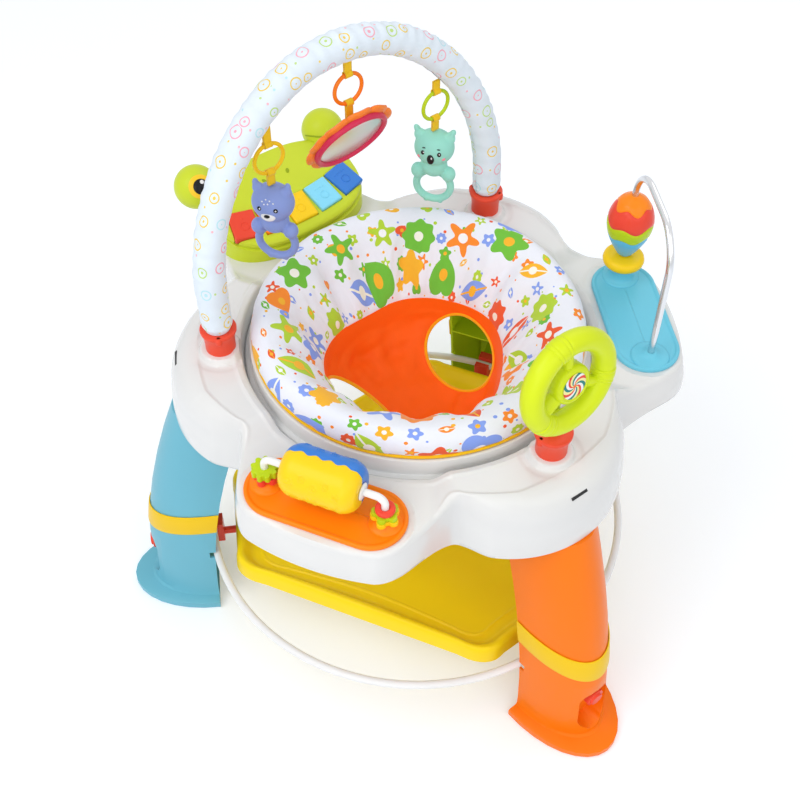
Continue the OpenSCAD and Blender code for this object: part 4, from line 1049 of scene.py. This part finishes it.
def fused(bm, voxel, rounds):
    """Overlapping shapes melted into one skin."""
    work = bpy.data.objects.new("fused", as_mesh("fused", bm))
    scene.collection.objects.link(work)
    grid = work.modifiers.new("grid", "REMESH")
    grid.mode = "VOXEL"
    grid.voxel_size = voxel / 1000
    fine = bpy.data.meshes.new_from_object(work.evaluated_get(bpy.context.evaluated_depsgraph_get()))
    bpy.data.objects.remove(work)
    made = bmesh.new()
    made.from_mesh(fine)
    for _ in range(rounds):
        bmesh.ops.smooth_vert(made, verts=made.verts, factor=0.5, use_axis_x=True, use_axis_y=True,
                              use_axis_z=True)
    return made


face_black = moulded("face_black", (0.012, 0.012, 0.014), gloss=0.18)
face_white = moulded("face_white", (0.85, 0.85, 0.86), gloss=0.25)
cheek_pink = moulded("cheek_pink", (0.86, 0.27, 0.33), gloss=0.35)
bear_blue = moulded("bear_blue", (0.25, 0.33, 0.68), gloss=0.4)
koala_mint = moulded("koala_mint", (0.32, 0.72, 0.61), gloss=0.4)


def rattle(toy, i, ears, rounds, skin, face):
    """Head, body, paws and the handle ring with its feet, melted into one, and the pads of the face."""
    upright = Matrix.Translation((0, 0, -0.0561)) @ Matrix.Rotation(math.pi / 2, 4, "Y")
    parts = [moved(torus(0.021, 0.0046, 72, 16), upright), ball((21, 24, 22), (0, 0, 0))]
    parts.append(ball((15, 16, 15.5), (0, 0, -25)))
    for side in (-1, 1):
        parts += [ball((8.4, 8.6, 9.8), (3, side * 18.5, -35)), ball((3.8, 3.4, 4.2), (0, side * 9, -78.4))]
    place = hang(i, toy_drop) @ Matrix.Rotation(math.radians(-52), 4, "Z")
    body = fused(joined(*parts, *ears), 1.0, rounds)
    piece(toy + "_body", body, skin, toy, [toy + "_rattle"], sharp=180, place=place)
    for name, pads, colour, slot in face:
        piece(toy + "_" + name, joined(*pads), colour, toy, place=place)


bear_ears, koala_ears, freckles = [], [], []
for side in (-1, 1):
    bear_ears += [ball((5, 7, 7.4), (0, side * 15.5, 16)), ball((3.2, 3.8, 6), (0, side * 18.2, 22.4))]
    lean = Matrix.Rotation(-side * 0.5, 4, "X")
    koala_ears += [ball((5, 8, 8.6), (0, side * 16.6, 14), lean),
                   ball((3.4, 4, 6.6), (0, side * 20.6, 21.4), lean)]
for y, z in ((-6, 12), (-2, 14.4), (2.4, 13.6), (6.4, 11.4), (0.6, 10.6), (-3.4, 9.8)):
    freckles.append(ball((0.7, 0.9, 0.9), (20.5 * math.sqrt(1 - (y / 24) ** 2 - (z / 22) ** 2) + 0.3, y, z)))
bear_nose, koala_nose = ball((2.2, 3.3, 1.7), (22.3, 0, -3.2)), ball((2.8, 4.3, 7), (20.2, 0, -4))
koala_eyes = pair((1.8, 2.7, 3.1), 18.2, 9.4, 3) + pair((0.9, 2.2, 0.6), 17.6, 8.6, 9.4)
# A small white pad on the koala's nose: a painted highlight.
nose_painted_highlight = ball((0.6, 0.9, 1.6), (22.6, 1.6, -0.8))
rattle("bear", 0, bear_ears, 5, bear_blue, (
    ("muzzle", [ball((5, 8.5, 6.4), (17.6, 0, -6))], face_white, "white_plastic"),
    ("eyes", [bear_nose] + pair((1.8, 2.7, 2.7), 18.6, 9, 3.4), face_black, "speaker"),
    # White pads on the bear's eyes: painted highlights.
    ("painted_highlights", pair((0.7, 0.9, 0.9), 20.2, 9, 4.4, 0.8), face_white, "white_plastic"),
    ("freckles", freckles, face_white, "white_plastic"),
))
rattle("koala", 2, koala_ears, 4, koala_mint, (
    ("eyes", [koala_nose] + koala_eyes, face_black, "speaker"),
    ("cheeks", pair((1.6, 3.4, 2.4), 15.4, 13.4, -4.4), cheek_pink, "crimson_plastic"),
    # White pads on the koala's eyes and nose: painted highlights.
    ("painted_highlights", pair((0.6, 0.9, 0.9), 19.4, 9.4, 4.1, 0.8) + [nose_painted_highlight], face_white, "white_plastic"),
))


# Mirror: a thin acrylic mirror in a crimson ring, clipped on an orange plate with a wavy petal edge.
# It hangs tilted under the middle of the arch, facing the seat.
petal_rim = [(0, -5), (0.9, -5), (0.97, -4.6), (1, -3.4), (1, -1.6), (0.975, -0.4), (0.93, 0), (0, 0)]


def petal_place(s, t):
    share, height = petal_rim[round(t * (len(petal_rim) - 1))]
    turn = 2 * math.pi * s
    reach = share * (55 - 5 * (1 - abs(math.cos(5 * turn))) ** 2.4)
    return around(reach, turn, height + (0.7 * math.cos(10 * turn) if share > 0.9 else 0))


mirror_place = hang(1, 82.5) @ Matrix.Rotation(math.radians(118), 4, "Y")
mirror_orange = moulded("mirror_orange", (1.0, 0.25, 0.035), gloss=0.33)
mirror_crimson = moulded("mirror_crimson", (0.66, 0.035, 0.10), gloss=0.3)
petal_shape = formed(240, len(petal_rim) - 1, petal_place)
piece("petal_plate", petal_shape, mirror_orange, "mirror", ["mirror_petals"],
      place=mirror_place)
rim_profile = [(40, 0), (46.4, 0), (46.4, 2.8)]
for a in (0.4, 0.8, 1.2, 1.57, 1.95, 2.35, 2.75):
    rim_profile.append((43.2 + 3.2 * math.cos(a), 2.8 + 3 * math.sin(a)))
rim_shape = turned(rim_profile + [(40, 2.8)], 96)
piece("mirror_ring", rim_shape, mirror_crimson, "mirror", ["mirror_rim"], place=mirror_place)
silver = moulded("silver", (0.86, 0.87, 0.88), gloss=0.34, coat=0, bump=0.01, metallic=1.0)
glass_shape = turned([(0, 0), (39.7, 0), (39.7, 2.1), (38.9, 2.5), (0, 2.6)], 96)
piece("mirror_disc", glass_shape, silver, "mirror", ["mirror_glass"], place=mirror_place)

# Frog piano: a lime box with a sloped face, two ball eyes on axles and five keys along its mouth. The
# face is a separate moulding with softened edges; board and speaker sit inside.
frog_lime = moulded("frog_lime", (0.59, 0.69, 0.035), gloss=0.36)
piece("frog_box", solid_copy("frog_base"), frog_lime, "frame", ["frog_base"], rounded=0.0014)
piece("frog_front", solid_copy("frog_face"), frog_lime, "frame", ["frog_face"], rounded=0.0016)
board_green = moulded("board_green", (0.02, 0.20, 0.07), gloss=0.4)
speaker_black = moulded("speaker_black", (0.03, 0.03, 0.035), gloss=0.5)
finish("frog_board", board_green)
finish("frog_speaker", speaker_black)
frog_place = radial(150, 0.264, 0.469) @ Matrix.Rotation(math.radians(-20.8), 4, "Y")
nostrils = []
for side in (-1, 1):
    nostrils.append(ball((3.6, 2.2, 0.9), (24, side * 17, 0.2), Matrix.Rotation(side * 0.5, 4, "Z")))
frog_dark = moulded("frog_dark", (0.30, 0.40, 0.01), gloss=0.45)
piece("frog_nostrils", joined(*nostrils), frog_dark, "frame", place=frog_place)


# Eyes: hollow balls turning on slanted axles. The left one looks out with a yellow iris and black
# pupil, with a white spot on the pupil as a painted highlight; the right one is turned to its closed lid,
# a raised line across the ball.
def cap(at, facing, ball_r, spread, proud):
    """A round cap that hugs a ball round one direction, spread in degrees."""
    turn = facing.to_track_quat("Z", "Y").to_matrix().to_4x4()
    rows = [(blend(0, spread, k / 8), ball_r + proud) for k in range(9)]
    rows += [(spread + 1.2, ball_r + 0.4 * proud), (spread + 1.6, ball_r - 0.6)]
    profile = [(r * math.sin(math.radians(a)), r * math.cos(math.radians(a))) for a, r in rows]
    profile += [(0, (ball_r - 0.6) * math.cos(math.radians(spread + 1.6)))]
    return moved(turned(profile, 40), Matrix.Translation(at) @ turn)


eye_r, eye_left_at, eye_right_at = 27, Vector((-0.32326, 0.07809, 0.486)), Vector((-0.22926, 0.24091, 0.486))
gaze = Vector((0.62, -0.52, 0.58)).normalized()
# Direction of the painted highlight on the pupil.
highlight_way = (gaze + Vector((-0.05, 0.16, 0.12))).normalized()
iris_yellow = moulded("iris_yellow", (0.95, 0.60, 0.03), gloss=0.3)
for eye in ("eye_left", "eye_right"):
    piece(eye.replace("eye", "eye_ball"), solid_copy("frog_" + eye), frog_lime, eye, ["frog_" + eye],
          sharp=60)
piece("eye_iris", cap(eye_left_at, gaze, eye_r, 31, 0.5), iris_yellow, "eye_left")
piece("eye_pupil", cap(eye_left_at, gaze, eye_r, 19, 1.1), face_black, "eye_left")
# A small white cap on the pupil: a painted highlight.
piece("eye_painted_highlight", cap(eye_left_at, highlight_way, eye_r, 4.5, 1.6), face_white, "eye_left")
lid_turn = gaze.to_track_quat("Z", "Y").to_matrix()
lid_path = []
for k in range(41):
    a = math.radians(-75 + 150 * k / 40)
    lid_way = Vector((math.sin(a), -0.34 * math.cos(a) ** 2, math.cos(a))).normalized()
    lid_path.append(eye_right_at * 1000 + lid_turn @ (lid_way * (eye_r + 0.1)))
piece("eye_lid_line", tube(lid_path, 1.0, sides=10), frog_dark, "eye_right")

# Keys: five rounded plastic keys in red, orange, yellow, light blue and blue, in a curve along the
# frog's mouth. Each has a raised ring and one to five raised dots.
key_colours = (("red", (0.84, 0.07, 0.035), "red_plastic"),
               ("orange", (1.0, 0.25, 0.012), "orange_plastic"),
               ("yellow", (0.95, 0.62, 0.012), "yellow_plastic"),
               ("sky", (0.245, 0.70, 0.93), "key_sky_plastic"),
               ("blue", (0.045, 0.21, 0.66), "blue_plastic"))
for k, (tone, colour, key_slot) in enumerate(key_colours):
    key, step = "key_" + tone, k - 2
    key_finish = moulded(key + "_gloss", colour, gloss=0.27)
    piece("key_top_" + tone, solid_copy(key), key_finish, key, [key], rounded=0.0022)
    mark_at = Matrix.Translation(((-28 + 2.4 * step * step) / 1000, -37 * step / 1000, 0.004))
    mark_place = frog_place @ mark_at @ Matrix.Rotation(math.radians(7 * step), 4, "Z")
    marks = [moved(torus(0.0052, 0.0007, 40, 8), Matrix.Translation((-0.003, 0, 0)))]
    for spot in range(k + 1):
        marks.append(ball((1.0, 1.0, 0.7), (8, 4 * (spot - k / 2), 0)))
    piece("key_mark_" + tone, joined(*marks), key_finish, key, place=mark_place)


# Front station: an orange plate in the tray's pocket with a raised rim and two domed bosses, and a bent
# white rod that carries the drum and five threaded beads.
post_y, post_bore, rod_bar, rod_foot = 66.7, 4.06, 4, -2
plate_profile = [(37.9, -4), (1, -4), (0.2, -3.7), (0, -3.2), (0, -0.4), (0.5, 0.7), (1.5, 1.3), (3, 1.35),
                 (4.4, 0.9), (5.2, 0.2), (6.2, 0), (9, 0), (37.9, 0)]


def stadium(s, t):
    """Outline of a plate: two straight sides and two half rounds."""
    inset, height = plate_profile[round(t * (len(plate_profile) - 1))]
    straight, reach = 2 * plate_half, plate_r - inset
    half_way = straight + math.pi * plate_r
    run = 2 * s * half_way
    side = 1 if run < half_way else -1
    if side < 0:
        run -= half_way
    turn = max(0.0, run - straight) / plate_r
    along = min(run, straight) - plate_half + reach * math.sin(turn)
    return side * reach * math.cos(turn), side * along, height


def plate(near_boss, far_boss):
    """A plate with its two bosses, in the plate's own frame."""
    parts = [formed(240, len(plate_profile) - 1, stadium)]
    for boss, y in ((near_boss, -post_y), (far_boss, post_y)):
        post = turned([(post_bore, -2)] + boss + [(post_bore, boss[-1][1])], 48)
        parts.append(moved(post, Matrix.Translation((0, y / 1000, 0))))
    return joined(*parts)


low_boss = [(18, -2), (18, 0.4), (17.3, 1.5), (15.6, 2.3), (14, 3.4), (12, 5.6), (10, 7.1), (8, 7.8), (6, 8)]
front_place = radial(270, station_r / 1000, 0.428)
plate_orange = moulded("plate_orange", (1.0, 0.235, 0.004), gloss=0.33)
piece("front_plate", plate(low_boss, low_boss), plate_orange, "frame", ["plate_front"],
      place=front_place, sharp=50)


def rod(height, bend):
    """Bent rod in its plate's frame: up one post, round two bends and down the other."""
    flat, straight = post_y - bend, height - bend
    turns = [math.radians(5 * k) for k in range(19)]
    path = [Vector((0, -post_y, z)) for z in (rod_foot, rod_foot + 2, straight)]
    path += [Vector((0, -flat - bend * math.cos(a), straight + bend * math.sin(a))) for a in turns[1:]]
    path += [Vector((0, blend(-flat, flat, k / 8), height)) for k in range(1, 8)]
    path += [Vector((0, flat + bend * math.sin(a), straight + bend * math.cos(a))) for a in turns]
    path += [Vector((0, post_y, z)) for z in (rod_foot + 2, rod_foot)]
    return tube(path, rod_bar, sides=20)


piece("front_rod", rod(40, 10), ring_white, "frame", ["rod_front"], place=front_place)


# Drum: two half shells that close round the rod, yellow in front and blue behind, with a scalloped
# joint, raised swirls and stars, and two screw wells. White washers close its ends.
drum_r, drum_end, drum_side = 27.5, 42, 28.4
drum_shoulder = [(16.5, drum_end), (18.6, 41.6), (20.8, 40.4), (23, 38.4), (24.8, 36), (26.2, 33.4),
                 (27.1, 30.8), (drum_r, drum_side)]
drum_profile = [(4.3, -drum_end), (12, -drum_end)] + [(r, -z) for r, z in drum_shoulder]
drum_profile += [(drum_r, blend(-drum_side, drum_side, k / 60)) for k in range(1, 60)]
drum_profile += drum_shoulder[::-1] + [(12, drum_end), (4.3, drum_end)]
star_spots = ((0, 20, 8.6), (-25, -18, 5), (25, -18, 5))
swirl_spots = ((-25, 48), (-8, 62), (8, 62), (25, 48), (0, -22), (-13, -34), (13, -34), (-27, 16), (27, 16))


def drum_relief(run, deg):
    """Height of the stars, screw wells and swirls, by the place along the drum and round it."""
    def seen_from(centre, facing):
        x, y = run - centre, math.radians(deg - facing) * drum_r
        return math.hypot(x, y), math.atan2(y, x)

    lift = 0.0
    for centre, facing, size in star_spots:
        away, heading = seen_from(centre, facing)
        edge = size * (0.74 + 0.26 * math.cos(5 * heading)) - away
        lift += 0.9 * ease(edge) - 0.5 * ease((edge - 1.8) / 0.8)
    for centre in (-15.5, 15.5):
        away, _ = seen_from(centre, 24)
        lift += 0.6 * math.exp(-((away - 4.2) / 0.7) ** 2) - 3.2 * ease((2.7 - away) / 0.8)
    for centre, facing in swirl_spots:
        away, heading = seen_from(centre, facing)
        swirl = abs((away / 2.3 - heading / (2 * math.pi)) % 1 - 0.5)
        lift += 0.7 * ease((5.2 - away) / 1.2) * ease((0.26 - swirl) / 0.12)
    return lift


def drum_half(turn):
    def place(s, t):
        radius, run = drum_profile[round(t * (len(drum_profile) - 1))]
        lip = 3.2 * math.cos(2 * math.pi * run / 15.5) * ease((40 - abs(run)) / 6)
        deg = blend(-90, 90, s) + lip
        if radius > drum_r - 0.2:
            radius += drum_relief(run, deg)
        return around(radius, math.radians(deg + turn), run)
    return formed(96, len(drum_profile) - 1, place)


drum_place = front_place @ Matrix.Translation((0, 0, 0.04)) @ Matrix.Rotation(-math.pi / 2, 4, "X")
drum_yellow = moulded("drum_yellow", (0.95, 0.62, 0.012), gloss=0.3)
drum_blue = moulded("drum_blue", (0.045, 0.215, 0.68), gloss=0.3)
for half, turn, drum_finish, drum_slot in (("drum_front", -6, drum_yellow, "yellow_plastic"),
                                           ("drum_back", 174, drum_blue, "blue_plastic")):
    shell = piece(half + "_shell", drum_half(turn), drum_finish, "drum", [half], place=drum_place,
                  sharp=50)
    thicken(shell, "drum_wall", 2.4, -1)
washer = [(4.4, 42.1), (8.8, 42.1), (9.4, 42.6), (9.2, 43.6), (7, 44.6), (4.4, 44.8)]
washers = joined(turned(washer, 32), moved(turned(washer, 32), Matrix.Rotation(math.pi, 4, "X")))
piece("drum_washers", washers, ring_white, "drum", place=drum_place)

# Beads: lobed rings threaded on the rod's posts, a lime gear over a red star on the left, and a red
# ring, a lime star and a yellow star on the right.
bead_red = moulded("bead_red", (0.84, 0.07, 0.04), gloss=0.27)
bead_lime = moulded("bead_lime", (0.50, 0.66, 0.012), gloss=0.27)
bead_yellow = moulded("bead_yellow", (0.95, 0.62, 0.012), gloss=0.27)
for bead, bead_finish, tone in (
    ("bead_gear", bead_lime, "lime"), ("bead_star_red", bead_red, "red"), ("bead_ring", bead_red, "red"),
    ("bead_star_lime", bead_lime, "lime"), ("bead_star_yellow", bead_yellow, "yellow"),
):
    piece(bead + "_round", solid_copy(bead), bead_finish, bead, [bead], rounded=0.0019)

# Right station: a light blue plate with a low boss and a tall one, and a tall chromed hoop whose far
# post carries a yellow disc and a balloon in four wavy bands.
wide_boss = [(22, -2), (22, 0.5), (21.2, 1.7), (19.6, 2.2), (17, 2.4), (13, 3.3), (10, 4.7), (7.6, 6.6), (6, 8)]
tall_boss = [(22, -2), (22, 0.5), (21.2, 1.7), (19.6, 2.3), (17.4, 3.2), (16, 5.4), (15.4, 9), (15.6, 14),
             (16.6, 18.6), (16.4, 20.4), (15, 21)]
right_place = radial(30, station_r / 1000, 0.428)
plate_sky = moulded("plate_sky", (0.155, 0.56, 0.73), gloss=0.33)
piece("right_plate", plate(wide_boss, tall_boss), plate_sky, "frame", ["plate_right"],
      place=right_place, sharp=50)
hoop_chrome = moulded("hoop_chrome", (0.72, 0.73, 0.75), gloss=0.17, metallic=1.0)
piece("right_hoop", rod(170, 46), hoop_chrome, "frame", ["rod_right"], place=right_place)
post_place = right_place @ Matrix.Translation((0, post_y / 1000, 0))
disc_profile = [(post_bore, 21.3), (18.4, 21.3), (21.6, 22.3), (23.8, 24.8), (24.7, 28.3), (23.8, 31.8),
                (21.6, 34.3), (18.4, 35.3), (post_bore, 35.3)]
piece("post_disc", turned(disc_profile, 64), bead_yellow, "disc", ["spin_disc"],
      place=post_place, sharp=50)


def balloon_radius(t):
    full = 27 * (0.25 + 0.75 * max(0.0, math.sin(math.pi * t ** 1.25)) ** 0.7)
    return full * (1 - 3.5 * (t - 0.92) if t > 0.92 else 1)


def balloon_band(low, high, wave_low, wave_high):
    """One band of the balloon between two shares of its height, with wavy or level edges."""
    steps = 16

    def place(s, t):
        row = round(t * (steps + 4))
        turn = 2 * math.pi * s
        bottom = low + wave_low * 0.03 * math.sin(5 * turn)
        top = high + wave_high * 0.03 * math.sin(5 * turn)
        share = blend(bottom, top, min(1.0, max(0.0, (row - 2) / steps)))
        radius = balloon_radius(min(1.0, max(0.0, share)))
        edge = min(row - 2, steps + 2 - row) / steps
        radius -= 0.9 * (1 - ease(edge / 0.12))
        if row in (0, steps + 4):
            radius = post_bore
        elif row in (1, steps + 3):
            radius = max(post_bore, radius - 1.6)
        return around(radius, turn, 35.6 + 88 * share)
    bm = formed(80, steps + 4, place)
    bmesh.ops.bridge_loops(bm, edges=[e for e in bm.edges if e.is_boundary])
    bmesh.ops.recalc_face_normals(bm, faces=bm.faces)
    return bm


balloon_sky_finish = moulded("balloon_sky_gloss", (0.13, 0.50, 0.74), gloss=0.27)
balloon_orange_finish = moulded("balloon_orange_gloss", (1.0, 0.26, 0.012), gloss=0.27)
for band, edges, band_finish in (
    ("sky", (0, 0.4, 0, 1), balloon_sky_finish), ("lime", (0.4, 0.59, 1, 1), bead_lime),
    ("red", (0.59, 0.84, 1, 1), bead_red), ("orange", (0.84, 1, 1, 0), balloon_orange_finish),
):
    piece("balloon_band_" + band, balloon_band(*edges), band_finish, "balloon", ["balloon_" + band],
          place=post_place, sharp=60)

# Wheel: a lime steering wheel with a fat rim in three sleeves, three round spokes and a raised hub with
# a round printed label. It turns on an axle at the top of a stalk that stands in the third collar.
wheel_lime = moulded("wheel_lime", (0.66, 0.78, 0.016), gloss=0.34)
piece("wheel_post", solid_copy("wheel_stalk"), wheel_lime, "frame", ["wheel_stalk"],
      rounded=0.0008)
stalk_place = radial(leg_dirs["right"], collar_r / 1000, 0.472) @ Matrix.Rotation(math.radians(-9), 4, "Y")
wheel_place = stalk_place @ Matrix.Translation((0.022, 0, 0.08)) @ Matrix.Rotation(math.pi / 2, 4, "Y")


def wheel_rim(s, t):
    turn, round_it = 2 * math.pi * s, 2 * math.pi * t
    sector = (math.degrees(turn) - 14) % 120 - 60
    sleeve = 0.55 * ease((8.6 - abs(sector)) / 0.8)
    groove = 0.75 * sum(math.exp(-((abs(sector) - line) / 0.8) ** 2) for line in (4.6, 9.4))
    reach = 47.3 + (12.1 + sleeve - groove) * math.cos(round_it)
    return around(reach, turn, (12.3 + sleeve - groove) * math.sin(round_it))


hub_profile = [(4.1, -9), (21, -9), (22, -8), (22, 4.5), (21.2, 6.8), (19, 8.6), (16.8, 9), (16.4, 8.4),
               (15.8, 8.2), (0, 8.4), (0, 7), (4.1, 7)]
spokes = []
for k in range(3):
    spoke = tube([Vector((14 + 3 * j, 0, -1)) for j in range(9)], 8.2, sides=20, flat=0.7)
    spokes.append(moved(spoke, Matrix.Rotation(math.radians(60 + 120 * k), 4, "Z")))
wheel_shape = joined(formed(360, 28, wheel_rim), turned(hub_profile, 72), *spokes)
piece("wheel_body", wheel_shape, wheel_lime, "wheel", ["toy_wheel"], place=wheel_place,
      sharp=50)


def label_print(tree, where):
    """Bright segments turning about the middle of the hub's label."""
    axes = add_node(tree, "SeparateXYZ", {0: where}).outputs
    away = vector_math(tree, "LENGTH", where)["Value"]
    heading = calc(tree, "ARCTAN2", axes[1], axes[0])
    turn = calc(tree, "MULTIPLY_ADD", away, 16.0, calc(tree, "DIVIDE", heading, 2 * math.pi))
    red, white, teal, cream = (0.80, 0.06, 0.03), (0.90, 0.90, 0.86), (0.0, 0.22, 0.20), (0.92, 0.84, 0.35)
    segments = palette(tree, calc(tree, "FRACT", turn), (red, white, teal, cream) * 4)
    return mixed(tree, calc(tree, "LESS_THAN", away, 0.0022), segments, (0.85, 0.20, 0.03))


label_r = 14.8


def label_chart(s, t):
    return around(label_r / 1000 * t, 2 * math.pi * s, 0)[:2]


def label_place(s, t):
    return around(label_r * t, 2 * math.pi * s, 8.62)


label_film = cloth("label_film", thread=0.0004, bump=0.02, sheen=0.0, rough=0.3, print_colour=label_print)
label_shape = formed(64, 12, label_place, label_chart)
label = piece("hub_label", label_shape, label_film, "wheel", place=wheel_place)
thicken(label, "film", 0.2, -1)
